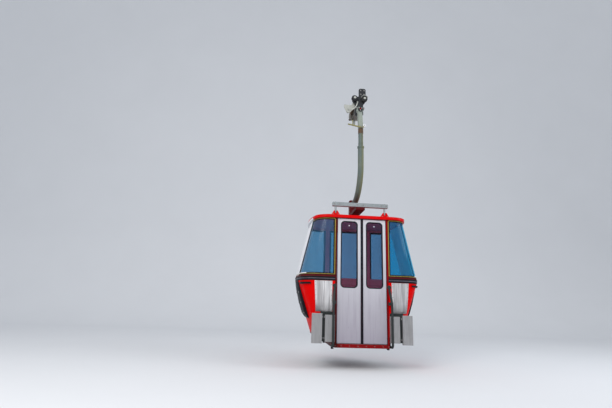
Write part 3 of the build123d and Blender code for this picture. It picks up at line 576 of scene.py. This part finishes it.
# Windows: four bent corner panes and a flat one at the back, blue tinted, set in black rubber profiles. A
# brass-coloured filler strip is pressed into each rubber after the glass, and spreads it tight.
brass = metal("brass_filler", (0.36, 0.27, 0.045), 0.42, (40, 40, 40), 0.45)
gasket_rubber = rubber_finish("window_rubber", (0.006, 0.006, 0.008), (0.016, 0.017, 0.02))
dress("rear_pillars", red)
dress("window_gaskets", gasket_rubber, 0.003, 3)
top, low, inset, cut, strip = 1.786, 0.9595, 0.009, 0.012, bead(11.5, 2.4)
fillers = band(0.9555, 0.002, 0.0002, bead(8.5, 2))
rising, end_run = np.linspace(low, top - cut, 30), float(run_to_end(top, 0.268))
heights = np.concatenate([rising, np.full(50, top)])
for y_side, edge in ((-1, jamb_edge + inset), (1, pillar_edges[1] + inset)):
    runs = np.concatenate([np.full(30, edge), np.linspace(edge + cut, end_run, 50)])
    for x_side in both_sides:
        fillers += carried(*on_wall(runs, heights, 0.0, x_side, y_side), strip)
edge = pillar_edges[0] - inset
heights = np.concatenate([rising, np.full(40, top), rising[::-1]])
x = np.concatenate([np.full(30, -edge), np.linspace(cut - edge, edge - cut, 40), np.full(30, edge)])
fillers += carried(*on_wall(np.abs(x), heights, 0.0, np.sign(x), 1), strip)
fitted("window_fillers", fillers, brass)


def tinted(name, clear, deep, tone, deep_tone, share):
    """Tinted glass: light that passes is coloured from clear to deep along the cabin, and a share of the surface is
    a glossy coat that goes from the tone to the deep tone, with smears drawn down the pane that dull it. The change
    along the cabin is painted light and reflection."""
    finish, shader, place = plain_finish(name, tone, 0.05)
    smears = between(drawn_out(place, (6, 6, 1.3), 4), 0.42, 0.78)
    dust = between(cloud(place, 55, 5, 0.7), 0.6, 0.75)
    # painted light and reflection: the tint and the coat deepen towards +x
    painted_light_along = between(axis_of(place, "X"), -0.8, 0.8)
    paler = tuple(1.2 * c + 0.06 for c in tone)
    coat = stained(mixed(painted_light_along, tone, deep_tone), smears, 0.5, paler)
    feed(shader, base_color=coat, roughness=between(smears, 0, 1, 0.03, 0.22))
    veil = math_of("ADD", math_of("MULTIPLY", smears, 0.1), share)
    veil = math_of("ADD", veil, math_of("MULTIPLY", dust, 0.06))
    through = node("BsdfTransparent", {"Color": mixed(painted_light_along, clear, deep)})
    both = node("MixShader", {0: veil, 1: through, 2: shader.outputs[0]})
    feed(finish.node_tree.nodes["Material Output"], surface=both)
    return finish


front_glass = tinted(
    "blue_tinted_glass", (0.89, 0.93, 0.97), (0.48, 0.92, 1.0), (0.05, 0.15, 0.28), (0.004, 0.17, 0.43), 0.17
)
rear_glass = tinted(
    "deep_tinted_glass", (0.46, 0.69, 0.82), (0.33, 0.66, 0.82), (0.04, 0.13, 0.25), (0.015, 0.125, 0.3), 0.11
)
for name, glass in (
    ("front_left", front_glass), ("front_right", front_glass),
    ("rear_left", rear_glass), ("rear_right", rear_glass), ("rear_middle", rear_glass),
):
    dress(f"pane_{name}", glass, 0)


# End panels: white sprayed sheet from the belt to the roof between the corner windows, with a low toe that
# runs round under the glass. Each is riveted down both edges and stiffened by two pressed ribs.
for name in ("left", "right"):
    dress(f"end_panel_{name}", white)
panel_ribs, end_rivets = [], []
rib_foot, rib_top, rib_ends = 1.02, 1.72, 0.05
heights = np.linspace(rib_foot, rib_top, 24)
swell = 0.004 * np.clip(np.minimum(heights - rib_foot, rib_top - heights) / rib_ends, 0, 1) ** 0.5
rivet_heights = np.arange(1.01, 1.78, 0.095)
for quarter in quarters:
    for y in (0.085, 0.175):
        path, out = on_wall(run_to_end(heights, y), heights, swell - 0.0035, *quarter)
        panel_ribs += carried(path, out, bead(30, 3.4, 4))
    end_rivets.append(wall_rivets(5.5, 2.4, run_to_end(rivet_heights, 0.254), rivet_heights, 0, *quarter))
fitted("end_panel_ribs", panel_ribs, white)
fitted("end_panel_rivets", end_rivets, white)


# Linings: maroon vinyl-faced board on the ceiling, behind the rear panel up to the glass, round the corners
# over the benches, and over the inner faces of the rear pillars, of the rail and of the roof's rim.
# painted light: the board is a far lighter red than a maroon board, standing in for light that the tinted panes keep
# out of the cabin
lining_with_painted_light, shader, place = plain_finish("maroon_lining_board_painted_light", (0.8, 0.17, 0.245), 0.6)
grain = node("TexVoronoi", {"Vector": place, "Scale": 330.0})
fade = between(cloud(place, 2.2, 4), 0.35, 0.7)
clouded(shader, fade, (0.78, 0.16, 0.23), (0.86, 0.19, 0.27), 0.5, 0.7)
bumped(shader, [(grain, 0.0002), (cloud(place, 7, 2), 0.002)])
ceiling_height, board_thick, portal_reach = 1.8266, 0.0028, 0.398
away = np.linspace(0.3985, 0.7, 16)
x = np.concatenate([-away[::-1], np.linspace(-0.3975, 0.3975, 9), away])
a, b, r, bow, lean, corner_x = wall_sizes(1.82)
past = np.clip(np.abs(x) - corner_x, 0, None)
half_depth = b - 0.016 - (r - np.sqrt(np.clip(r**2 - past**2, 1e-6, None)))
rows_y = np.linspace(np.where(np.abs(x) < portal_reach, -0.524, -half_depth), half_depth, 13)
ceiling = spread(x, rows_y, door_foot + ceiling_height)
ceiling_board = closed_sheet(ceiling, ceiling + (0, 0, board_thick))
fitted("ceiling_lining", ceiling_board, lining_with_painted_light, rounded=False)
board, rail_face, rim_face = (-0.0312, -0.0284), (-0.0378, -0.035), (-0.015, -0.0124)
rail_heights, rim_heights = np.array([0.862, 0.889, 0.916, 0.944, 0.972]), np.array([1.798, 1.812, 1.826])
bench_top, bench_corner, bench_end = 0.522, 0.502, 0.442
linings = []
for x_side in both_sides:
    linings += wall_sheet(np.linspace(0.324, 0.396, 5), np.linspace(0.945, 1.795, 12), board, x_side, 1)
    for y_side, first in ((-1, jamb_edge + 0.004), (1, 0.0)):
        for heights, start, end_y, steps, faces in (
            (rail_heights, first, 0.0, 60, rail_face),
            (rim_heights, first, 0.0, 60, rim_face),
            (np.linspace(bench_top, 0.858, 5), bench_corner, bench_end, 30, board),
        ):
            runs = np.linspace(start, run_to_end(heights, end_y), steps, axis=-1)
            linings += wall_sheet(runs, heights, faces, x_side, y_side)
        linings += wall_sheet(np.linspace(first, 0.5, 13), np.linspace(0.102, 0.858, 5), board, x_side, y_side)
fitted("wall_linings", linings, lining_with_painted_light, rounded=False)


# Doorway: red steel jambs and a header that the leaves hang from, over a red sill with a worn tread. A thin apron
# closes the slot between sill and floor. The jambs and sill are a darker red than the panels, as painted shade for the
# recessed doorway, and the left jamb is darker still, as a painted shadow of the guard bar.
def overlaid(finish, low, high, least, most, tone):
    """Lays a tone over a sprayed finish where x is past high and none before low, patchy from least to most."""
    tree = finish.node_tree
    shader, place = tree.nodes["Principled BSDF"], tree.nodes["Texture Coordinate"].outputs["Object"]
    patches = between(drawn_out(place, (30, 30, 5), 5, 0.65), 0.35, 0.65, least, most)
    under = shader.inputs["Base Color"].links[0].from_socket
    past = between(axis_of(place, "X"), low, high)
    feed(shader, base_color=stained(under, past, patches, tone))


# painted shade: a darker red than the panels' for the recessed doorway
shaded_jamb_red = sprayed(
    "jamb_red_painted_shade", (0.24, 0.001, 0.0025), (0.2, 0.004, 0.005), (0.06, 0.008, 0.008), 0.38, 0.12
)
# painted shadow of the guard bar: the left jamb and the sill's left end darken almost to black
overlaid(shaded_jamb_red, -0.3, -0.36, 0.75, 0.75, (0.03, 0.006, 0.005))
dress("door_portal", shaded_jamb_red)
dress("door_sill", shaded_jamb_red)  # on top of the first rounding
tread = []
for y in (-0.563, -0.553, -0.543):
    path = np.linspace((-0.36, y, door_foot - 0.008), (0.36, y, door_foot - 0.008), 12)
    tread += carried(path, upward, bead(4.5, 1.6))
fitted("sill_tread", tread, aluminium)
apron_x, apron_z = np.linspace(-0.394, 0.394, 3)[None, :], door_foot + np.linspace(-0.05, 0.08, 3)[:, None]
apron = [spread(apron_x, y, apron_z) for y in (-0.5278, -0.5272)]
fitted("sill_apron", apron, dark_red, rounded=False)
sill_screws = [(side * x, -0.572, door_foot - 0.034) for side in both_sides for x in (0.06, 0.18, 0.3, 0.385)]
fitted("sill_screws", rivets(5.5, 2.2, sill_screws, forward), bolt_steel)


# Door leaves: two flat leaves of pale grey sprayed sheet on a folded frame, each hung on a steel shaft at its
# jamb. Each has a tall rubber-edged window, aluminium edge mouldings, a screwed kick plate and, where the
# leaves meet, a hollow black seal with two lips.
# painted shade: a heavy purplish film darkens the leaves from 1.3 m above their foot downwards
door_paint = sprayed(
    "pale_grey_door_paint", (0.575, 0.57, 0.605), (0.51, 0.5, 0.54), (0.2, 0.165, 0.225), 0.4, 0.2, 1.3, film=0.62
)
seal_rubber = rubber_finish("door_seal_rubber", (0.014, 0.012, 0.018), (0.035, 0.033, 0.04))
door_tint, door_shade = ((0.91, 0.83, 0.91), (0.91, 0.84, 0.92)), (0.06, 0.055, 0.085)
door_glass = tinted("door_glass", *door_tint, door_shade, door_shade, 0.06)
leaf_front, leaf_top, hinge_x = -0.566, 1.786, 0.34


def upright_line(x, y, low, high, steps):
    """Points of an upright line between two heights above the door foot."""
    return np.linspace((x, y, door_foot + low), (x, y, door_foot + high), steps)


def round_corners(x, y, corner, steps):
    """A closed path round a rectangle between two values of x and two of y, with round corners."""
    angle = np.linspace(0, math.pi / 2, steps) + np.arange(4)[:, None] * math.pi / 2
    centre_x = np.array([x[1] - corner, x[0] + corner, x[0] + corner, x[1] - corner])[:, None]
    centre_y = np.array([y[1] - corner, y[1] - corner, y[0] + corner, y[0] + corner])[:, None]
    return np.stack([centre_x + corner * np.cos(angle), centre_y + corner * np.sin(angle)], -1).reshape(-1, 2)


bush = [(11.2, 0), (15, 0), (15, 5), (13.5, 6.6), (11.2, 6.6), (11.2, 0)]
for name, side in (("left", -1), ("right", 1)):
    body = f"door_{name}"
    dress(f"door_leaf_{name}", door_paint, 0.0012)
    dress(f"door_rubber_{name}", seal_rubber, 0.002, 3)
    dress(f"door_pane_{name}", door_glass, 0)
    window = round_corners(sorted((side * 0.069, side * 0.311)), (0.771, 1.745), 0.051, 10)
    window = spread(window[:, 0], leaf_front, door_foot + window[:, 1])
    window_bead = carried(window, forward, bead(16, 2.2), True)
    fitted(f"door_window_bead_{name}", window_bead, seal_rubber, body)
    lips, mouldings = [], []
    for x in (0.0075, 0.015):
        lips += carried(upright_line(side * x, leaf_front, 0.004, leaf_top - 0.004, 30), forward, bead(6, 2.2))
    fitted(f"door_seal_lips_{name}", lips, seal_rubber, body)
    for x in (0.0275, 0.3535):
        path = upright_line(side * x, leaf_front, 0.006, leaf_top - 0.006, 30)
        mouldings += carried(path, forward, flat_bead(6.8, 1.2, 1.8, 1.3))
    for z in (door_foot + 0.0125, door_foot + 1.7775):
        path = np.linspace((side * 0.035, leaf_front, z), (side * 0.346, leaf_front, z), 12)
        mouldings += carried(path, forward, flat_bead(6, 1.2, 1.8))
    fitted(f"door_mouldings_{name}", mouldings, door_paint, body)
    kick_screws = [(side * x, leaf_front, door_foot + z) for x in (0.055, 0.15, 0.235, 0.33) for z in (0.045, 0.17)]
    fitted(f"door_screws_{name}", rivets(4.5, 1.8, kick_screws, forward), door_paint, body)
    stud = rivets(9, 4, [(side * 0.19, -0.5545, door_foot + 1.686)], forward, 14)
    fitted(f"door_pane_stud_{name}", stud, white, body)
    bushes = turned(bush, [(side * hinge_x, -0.552, door_foot + z) for z in (-0.0078, 1.7862)], upward, 18)
    fitted(f"door_hinge_bushes_{name}", bushes, bolt_steel, body)


# Seats: boxed benches of dark red steel sheet, with a foam cushion and backrest on each. The covers are
# maroon vinyl pulled tight over the foam, sewn with one seam across the middle and welted at the edges.
dress("benches", dark_red)
vinyl, shader, place = plain_finish("maroon_vinyl", (0.13, 0.022, 0.035), 0.42, coat_weight=0.2, coat_roughness=0.3)
leather_grain = node("TexVoronoi", {"Vector": place, "Scale": 260.0})
creases = between(cloud(place, 26, 5, 0.65), 0.35, 0.7)
worn = between(cloud(place, 4, 4), 0.45, 0.75)
clouded(shader, worn, (0.11, 0.018, 0.03), (0.19, 0.045, 0.055), 0.34, 0.55)
bumped(shader, [(leather_grain, 0.00025), (creases, 0.0016)])


def baked(thing):
    """Turns what the piece's modifiers show now into its mesh, and takes the modifiers off."""
    seen = thing.evaluated_get(bpy.context.evaluated_depsgraph_get())
    mesh = bpy.data.meshes.new_from_object(seen)
    thing.modifiers.clear()
    thing.data = mesh


def points_of(mesh, field="co"):
    """The mesh's vertices, or their normals, as an array."""
    flat = np.empty(3 * len(mesh.vertices))
    mesh.vertices.foreach_get(field, flat)
    return flat.reshape(-1, 3)


def moved_to(mesh, points):
    """Moves the mesh's vertices to the points."""
    mesh.vertices.foreach_set("co", points.ravel())
    mesh.update()


def puffed(name, source, held, inset, cap=0.012, voxel=0.009):
    """A pad blown up from a node: shrunk by the inset, remeshed, then swelled by cloth under pressure with its back
    held; no point moves further than the cap."""
    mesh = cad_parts[source].data.copy()
    mesh.name = name
    thing = shown(name, welded(mesh))
    points = points_of(thing.data)
    centre, half = (points.max(0) + points.min(0)) / 2, (points.max(0) - points.min(0)) / 2
    moved_to(thing.data, centre + (points - centre) * (1 - inset / half))
    remesh = thing.modifiers.new("remesh", "REMESH")
    remesh.mode, remesh.voxel_size = "VOXEL", voxel
    baked(thing)
    start = points_of(thing.data)
    group = thing.vertex_groups.new(name="held")
    group.add(np.flatnonzero(held(start)).tolist(), 1.0, "REPLACE")
    cloth = thing.modifiers.new("cloth", "CLOTH")
    cloth.settings.use_pressure, cloth.settings.uniform_pressure_force = True, 4.0
    cloth.settings.vertex_group_mass = "held"
    cloth.settings.quality = 4
    cloth.settings.effector_weights.gravity = 0
    cloth.collision_settings.use_collision = False
    for moment in range(1, 21):
        bpy.context.scene.frame_set(moment)
    baked(thing)
    bpy.context.scene.frame_set(1)
    moved = points_of(thing.data) - start
    far = np.linalg.norm(moved, axis=1, keepdims=True)
    moved_to(thing.data, start + moved * np.minimum(1, cap / np.maximum(far, 1e-9)))
    smooth = thing.modifiers.new("sewn_smooth", "SUBSURF")
    smooth.levels = smooth.render_levels = 1
    baked(thing)
    return thing


def sewn(thing, lines, depth=0.0035):
    """Pulls the cover in along sewn lines: each is a function that gives a point's distance from the line."""
    points = points_of(thing.data)
    pull = sum(depth * np.exp(-((line(points) / 0.007) ** 2)) for line in lines)
    moved_to(thing.data, points - points_of(thing.data, "normal") * pull[:, None])
    smoothed(thing.data)


def mirrored(name, thing):
    """A copy mirrored to the other side of the cabin, with its faces turned outwards again."""
    other = shown(name, thing.data.copy())
    moved_to(other.data, points_of(other.data) * (-1, 1, 1))
    other.data.flip_normals()
    return other


def back_of_rest(points):
    """The points of the backrest within 18 mm of its back, which follows the leaning and bowed end wall."""
    half_length, _, _, bow, _, _ = wall_sizes(points[:, 2] - door_foot)
    wall = half_length - bow + np.sqrt(bow**2 - points[:, 1] ** 2) - 0.0283
    return points[:, 0] > wall - 0.018


seat_low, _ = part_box("seat_cushion_right")
rest_low, rest_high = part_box("backrest_right")
rest_middle, welt_in = (rest_low[2] + rest_high[2]) / 2, 0.05
cushion = puffed("cushion_right", "seat_cushion_right", lambda p: p[:, 2] < seat_low[2] + 0.012, 0.007)
sewn(cushion, [
    lambda p: p[:, 1], lambda p: np.where(p[:, 2] > seat_low[2] + 0.03, p[:, 0] - seat_low[0] - welt_in, 1.0)
])
rest = puffed("backrest_pad_right", "backrest_right", back_of_rest, 0.006)
sewn(rest, [lambda p: p[:, 1], lambda p: p[:, 2] - rest_middle])
for right, left, source, fill in (
    (cushion, "cushion_left", "seat_cushion", 0.7), (rest, "backrest_pad_left", "backrest", 0.6)
):
    right.data.materials.clear()
    right.data.materials.append(vinyl)
    for pad, side in ((right, "right"), (mirrored(left, right), "left")):
        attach(pad, "cabin")
        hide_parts(f"{source}_{side}")


# Ski boxes: folded aluminium sheet, open at the top, two on each side of the door on a pair of straps. The
# top edges are rolled, and dark bolts hold the straps in the gap between the boxes. Thin dark sheets behind the boxes,
# above the inner box and in the gap, are painted shade in the recess.
box_metal = metal("ski_box_aluminium", (0.335, 0.33, 0.335), 0.46, (190, 190, 5), 0.5, dent=0.0018)
# painted highlight: a lighter copy of the box aluminium for the rolled top edges, which catch the light
lit_roll_metal = metal("ski_box_aluminium_painted_highlight", (0.42, 0.415, 0.41), 0.46, (190, 190, 5), 0.5, dent=0.0018)
dark_steel = metal("dark_green_grey_steel", (0.013, 0.018, 0.018), 0.62, (70, 70, 12), 0.1)
box_front, box_back, fold, roll_radius = -0.616, -0.576, 0.004, 2.8
boxes = ((0.399, 0.537, 0.018, 0.378), (0.579, 0.724, -0.004, 0.396))
shade_sheet_spans = ((0.402, 0.602, 0.379, 0.424), (0.536, 0.58, 0.02, 0.379))
angle = np.linspace(0, math.tau, 8)[:-1]
roll_section = roll_radius * np.stack([np.cos(angle), np.sin(angle)], -1)
box_rolls, box_bolts, box_ribs, shade_sheets = [], [], [], []
for name, side in (("left", -1), ("right", 1)):
    dress(f"ski_basket_{name}", box_metal, 0.0012)
    for near, away, low, high in boxes:
        roll = round_corners(sorted((side * near, side * away)), (box_front, box_back), fold, 5)
        roll = spread(*roll.T, door_foot + high)
        box_rolls += carried(roll, upward, roll_section, True)
        for share in (0.25, 0.75):
            path = upright_line(side * (near + share * (away - near)), -0.618, low + 0.03, high - 0.03, 12)
            box_ribs += carried(path, forward, bead(10, 1.2))
    strap_bolts = [(side * x, -0.578, door_foot + z) for x in (0.558, 0.43) for z in (0.062, 0.35)]
    box_bolts.append(bolts(8, 6, strap_bolts, forward))
    # painted shade: dark sheets where the recess behind the boxes lies in shadow
    for near, away, low, high in shade_sheet_spans:
        span_x, span_z = side * np.linspace(near, away, 3)[None, :], door_foot + np.linspace(low, high, 3)[:, None]
        face = spread(span_x, -0.5739, span_z)
        shade_sheets += closed_sheet(face, face + (0, 0.0012, 0))
fitted("ski_box_shade_sheets", shade_sheets, dark_steel, rounded=False)
fitted("ski_box_rolls", box_rolls, lit_roll_metal)
fitted("ski_box_ribs", box_ribs, box_metal)
fitted("ski_box_bolts", box_bolts, dark_steel, rounded=False)


# Guard bars: bent steel tube in dark green-grey paint, from the belt down in front of the ski boxes and back
# under the floor. A stay holds each to its jamb, and a flange is bolted to the body at the top.
dress("guard_bars", dark_steel, 0.0012)
bar_x, flange_z = 0.402, door_foot + 0.79
flange = [(0, -2), (30, -2), (30, 4), (27, 6), (17.5, 6), (0, 6)]
flanges = []
for side in both_sides:
    flanges.append(turned(flange, [(side * bar_x, -0.5755, flange_z)], forward, 20))
    flange_bolts = [(side * bar_x + shift, -0.5815, flange_z) for shift in (0.0215, -0.0215)]
    flanges.append(bolts(4, 3, flange_bolts, forward, 1.2))
    stay_bolts = [(side * 0.39, -0.5805, door_foot + z) for z in (0.546, 0.567)]
    flanges.append(bolts(5, 4, stay_bolts, forward, 1.3))
fitted("guard_bar_flanges", flanges, dark_steel, rounded=False)


# Roof: a red sheet steel rim folded round the top of the body, with a drip edge turned out along its foot,
# and a shallow red dome riveted inside it. At the ends the white sheet is folded up over the rim's foot.
roof_red = sprayed("red_roof_paint", (0.64, 0.0005, 0.001), (0.56, 0.01, 0.01), (0.14, 0.015, 0.012), 0.32, 0.12)
dress("roof_rim", roof_red, 0.003, 3)
dress("roof_shell", roof_red, 0)
rim_proud, cover_face = 0.028, 0.0306
drip, rim_rivets, covers = [], [], []
for height, proud in ((1.8005, 2.2), (1.8362, 1.6)):
    drip += band(height, 0.004, rim_proud, bead(6, proud))
for x_side, y_side in quarters:
    runs = np.arange(jamb_edge + 0.04 if y_side < 0 else 0.05, 1.02, 0.105)
    rim_rivets.append(wall_rivets(5.5, 2.2, runs, 1.8185, rim_proud, x_side, y_side))
    runs = np.linspace(0.825, float(run_to_end(1.81, 0.0)), 24)
    covers += wall_sheet(runs, np.linspace(1.7965, 1.8235, 3), (0.0286, cover_face), x_side, y_side)
    covers += wall_sheet(runs, (1.7945, 1.7965), (0.0005, cover_face), x_side, y_side)
fitted("roof_end_covers", covers, white)
fitted("roof_drip_edge", drip, roof_red)
fitted("roof_rim_rivets", rim_rivets, roof_red)


# Roof frame: red lugs on the dome carry galvanised posts, and on them lie two square galvanised beams with
# capped ends. A dark red cross member joins the beams and takes the hanger's socket.
for name in ("roof_beams", "roof_posts"):
    dress(name, zinc, 0.003, 3)
dress("roof_lugs", roof_red, 0.002)
for name in ("cross_member", "hanger_socket"):
    dress(name, dark_red, 0.003, 3)
beam_middle, beam_top, beam_side, beam_end = door_foot + 2.035, door_foot + 2.066, 0.481, 0.434
post_tops = [(x, y, beam_top) for x in (-post_x, post_x) for y in (-post_y, post_y)]
cross_tops = [(x, y, beam_top) for x in (-0.045, 0.045) for y in (-post_y, post_y)]
side_bolts = [(i * x, j * beam_side, beam_middle) for i, j in quarters for x in (0.405, 0.33, 0.045)]
beam_bolts = [
    bolts(11, 8, post_tops, upward),
    bolts(9.5, 7, cross_tops, upward),
    bolts(8, 6, side_bolts, [(0, np.sign(y), 0) for x, y, z in side_bolts], 1.4),
]
lug_places = [
    (i * post_x + shift, j * (post_y + 0.023), door_foot + 1.872) for i, j in quarters for shift in (-0.04, 0.04)
]
lug_bolts = bolts(6.5, 4.5, lug_places, [(0, np.sign(y), 0) for x, y, z in lug_places], 1.4)
fitted("beam_bolts", beam_bolts, bolt_steel, rounded=False)
fitted("lug_bolts", lug_bolts, bolt_steel, rounded=False)
reach, depth = np.array([0.0, 0.024, 0.0275, 0.0275])[:, None], np.array([0.0022, 0.0022, 0.0, -0.002])[:, None]
corner = np.array([(-1, -1), (1, -1), (1, 1), (-1, 1), (-1, -1)])
caps = [
    spread(i * (beam_end + depth), j * post_y + reach * corner[:, 0], beam_middle + reach * corner[:, 1])
    for i, j in quarters
]
fitted("beam_end_caps", caps, zinc, rounded=False)


# Hanger: a bent steel tube that stands in a welded socket on the cross member and rises in front of the
# cabin to a collar. A thinner tube goes on up into the neck. Both are in weathered grey-green paint, with a
# rusty sleeve at the top, and the latch lever's yellow-olive arm is pinned to the front of the neck.
hanger_paint = sprayed(
    "weathered_grey_green_paint", (0.11, 0.145, 0.14), (0.19, 0.2, 0.12), (0.09, 0.07, 0.04), 0.48, 0.15, -0.9
)
# painted light: the tubes' +x side is turned yellow-olive in patches, as their lit side
overlaid(hanger_paint, -0.012, 0.036, 0.45, 0.95, (0.2, 0.195, 0.085))
neck_paint = sprayed(
    "pale_grey_green_paint", (0.27, 0.31, 0.285), (0.34, 0.36, 0.28), (0.12, 0.1, 0.07), 0.5, 0.15, -0.9
)
latch_paint = sprayed("yellow_olive_paint", (0.25, 0.23, 0.1), (0.33, 0.3, 0.13), (0.1, 0.08, 0.04), 0.5, 0.15, -0.9)
rust, shader, place = plain_finish("rusty_steel", (0.085, 0.055, 0.032), 0.75, 0.2)
flakes = cloud(place, 75, 6, 0.7)
tone = mixed(between(flakes, 0.35, 0.65), (0.06, 0.036, 0.022), (0.14, 0.085, 0.045))
feed(shader, base_color=tone, roughness=between(flakes, 0.3, 0.7, 0.6, 0.9))
bumped(shader, [(flakes, 0.0006)])
for name in ("hanger_tube", "hanger_upper_tube"):
    dress(name, hanger_paint, 0.0015)
dress("hanger_neck", neck_paint, 0.003, 3)
dress("hanger_latch", latch_paint, 0.0015)
tube_front = -0.5
turn = np.linspace(0, math.tau, 61)[:-1]
cos, sin = np.cos(turn), np.sin(turn)
round_section = np.stack([cos[::8], sin[::8]], -1)
ripple = 1 + 0.1 * np.sin(17 * turn)[:, None]
welds = []
for middle, out, radius, thick in (
    ((0, 0.0195, -1.624), spread(cos, 0, sin), 0.0485, 5.0),
    ((0, tube_front, -0.8302), spread(cos, sin, 0), 0.048, 4.2),
):
    welds += carried(middle + radius * out, out * ripple, thick * round_section, True)
fitted("hanger_welds", welds, hanger_paint)
around, collar_radius = np.arange(6) * math.pi / 3 + 0.3, 0.0462
collar = (0, tube_front, -0.802) + collar_radius * spread(np.cos(around), np.sin(around), 0)
socket_sides = [(side * 0.07, y, z) for side in both_sides for y in (0.045, 0.105) for z in (-1.76, -1.65)]
socket_foot = [(x, y, door_foot + 2.004) for x in (-0.05, 0.05) for y in (-0.3, -0.22, 0.22, 0.3)]
hanger_bolts = [
    bolts(4.2, 4, collar, upward, 1.0),
    bolts(9, 7, socket_sides, [(np.sign(x), 0, 0) for x, y, z in socket_sides], 1.4),
    bolts(8, 6, socket_foot, upward, 1.4),
]
fitted("hanger_bolts", hanger_bolts, bolt_steel, rounded=False)
sleeve = [(38.2, -86), (40.8, -86), (41.2, -84), (41.2, -4), (40.8, -2), (38.2, -2), (38.2, -86)]
fitted("hanger_sleeve", turned(sleeve, [(0, tube_front, -0.5)], upward, 48), rust)
hoop = [(38.2, 0), (40.5, 0), (40.5, 6), (38.2, 6), (38.2, 0)]
hoops = turned(hoop, [(0, tube_front, z) for z in (-0.76, -0.64)], upward, 48)
fitted("hanger_bands", hoops, hanger_paint)
knob = [(0, -13.5), (11.8, -13.5), (14.5, -9), (15, 0), (12.8, 8), (7, 12.5), (0, 13.8)]
fitted("latch_knob", turned(knob, [(-0.142, -0.5473, -0.358)], upward, 20), rubber)
ring_face = [(9.8, -0.5), (22.8, -0.5), (22.8, 1.6), (21, 2.6), (11.5, 2.6), (9.8, 1.6), (9.8, -0.5)]
fitted("latch_ring_face", turned(ring_face, [(0.05, -0.5563, -0.457)], forward, 28), white)
pivot_boss = [(0, -9.5), (13, -9.5), (13, 18.5), (10, 18.5), (9.5, 23), (0, 23)]
pivot_bolt = turned(pivot_boss, [(0.008, -0.5385, -0.4895)], forward, 6)
fitted("latch_pivot_bolt", pivot_bolt, bolt_steel, rounded=False)


# Grip: a black cast frame hangs the cabin on its shaft and carries two rollers for the station rail. Behind
# it a cast arm runs back to the fixed jaw over the rope, and the hinged jaw is pressed shut by two springs.
cast_black = metal("black_cast_steel", (0.022, 0.024, 0.028), 0.5, (160, 160, 160), 0.3)
cast_grey = metal("pale_cast_steel", (0.46, 0.47, 0.43), 0.55, (140, 140, 140), 0.35)
jaw_cast = metal("worn_cast_steel", (0.17, 0.16, 0.14), 0.55, (140, 140, 140), 0.5)
roller_rubber = rubber_finish("roller_tyre", (0.02, 0.02, 0.022), (0.075, 0.072, 0.066))
for name, finish in (("frame", cast_black), ("fixed_jaw", jaw_cast), ("eye_plate", cast_grey)):
    dress(f"grip_{name}", finish, 0.004, 3)
dress("grip_jaw", cast_grey, 0.002)
dress("grip_jaw_pin", bolt_steel, 0.001)
roller_x, roller_z, shaft_end = 0.083, 0.09, (0, -0.491, -0.13)
disc = [(14.5, -1), (34, -1), (34, 1.2), (31, 2.6), (24, 1.2), (20, 2.6), (14.5, 2.6), (14.5, -1)]
for name, x in (("left", -roller_x), ("right", roller_x)):
    dress(f"grip_roller_{name}", roller_rubber, 0.005, 3)
    face = turned(disc, [(x, -0.433, roller_z)], forward, 32)
    fitted(f"roller_disc_{name}", face, cast_black, f"roller_{name}")
axle_cap = [(0, -1), (20, -1), (20.5, 2), (17.5, 6.5), (9, 9), (0, 9.5)]
round_shaft = [np.add(shaft_end, (0.026 * math.cos(angle), 0, 0.026 * math.sin(angle))) for angle in (0.5, 2.6, 4.7)]
caps = [
    turned(axle_cap, [(x, -0.451, roller_z) for x in (-roller_x, roller_x)], forward, 28),
    bolts(7.5, 6, round_shaft, forward, 1.2),
]
fitted("grip_caps", caps, cast_grey, "grip")
grease_cap = [(0, -1), (13, -1), (13, 4), (9, 8), (0, 9)]
fitted("shaft_grease_cap", turned(grease_cap, [shaft_end], forward, 20), shaded_jamb_red, "grip")
angle = np.linspace(math.radians(28), math.radians(165), 40)
arc_out = spread(np.cos(angle), 0, np.sin(angle))
guard_radius, guard_section = 0.059, [(26.5, 0), (26.5, 4), (-26.5, 4), (-26.5, 0)]
guard = carried((roller_x, -0.4115, roller_z) + guard_radius * arc_out, arc_out, guard_section)
share = np.linspace(0, 1, 30)[:, None]
lever_top, lever_bend, lever_foot = np.array([(-0.028, 0.046), (-0.04, -0.06), (-0.124, -0.104)])
lever = (1 - share) ** 2 * lever_top + 2 * share * (1 - share) * lever_bend + share**2 * lever_foot
lever = spread(lever[:, 0], -0.3885, lever[:, 1])
guard += carried(lever, forward, flat_bead(8.5, 2.2, 3, 2, 3))
lever_ends = [(x, -0.385, z) for x, z in (lever_top, lever_foot)]
guard.append(turned([(0, 0), (13.5, 0), (13.5, 6.6), (0, 6.6)], lever_ends, forward, 20))
fitted("roller_guard_and_lever", guard, cast_grey, "grip")
spring_x, spring_z, coils, coil_radius = 0.082, -0.04, 9, 0.0165
turns = np.linspace(0, math.tau * coils, coils * 22)
coil_out = spread(np.cos(turns), 0, np.sin(turns))
springs, rods = [], []
for x in (-spring_x, spring_x):
    centre = np.linspace((x, -0.34, spring_z), (x, -0.118, spring_z), len(turns))
    springs += carried(centre + coil_radius * coil_out, coil_out, 4.2 * round_section)
    rod = [(0, 0), (7.5, 0), (7.5, 240), (0, 240)]
    rods.append(turned(rod, [(x, -0.35, spring_z)], (0, 1, 0), 16))
    rods.append(bolts(14, 10, [(x, -0.112, spring_z)], forward))
fitted("grip_springs", springs, rust, "grip")
fitted("grip_spring_rods", rods, bolt_steel, "grip", False)
frame_bolts = [(x, -0.385, z) for x, z in (
    (0.026, 0.266), (0.086, 0.266), (0.026, 0.192), (0.086, 0.192), (-0.045, -0.06), (0.045, -0.06)
)]
frame_bolts = bolts(9.5, 6, frame_bolts, forward, 1.4)
fitted("grip_frame_bolts", frame_bolts, bolt_steel, "grip", False)

low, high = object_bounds()
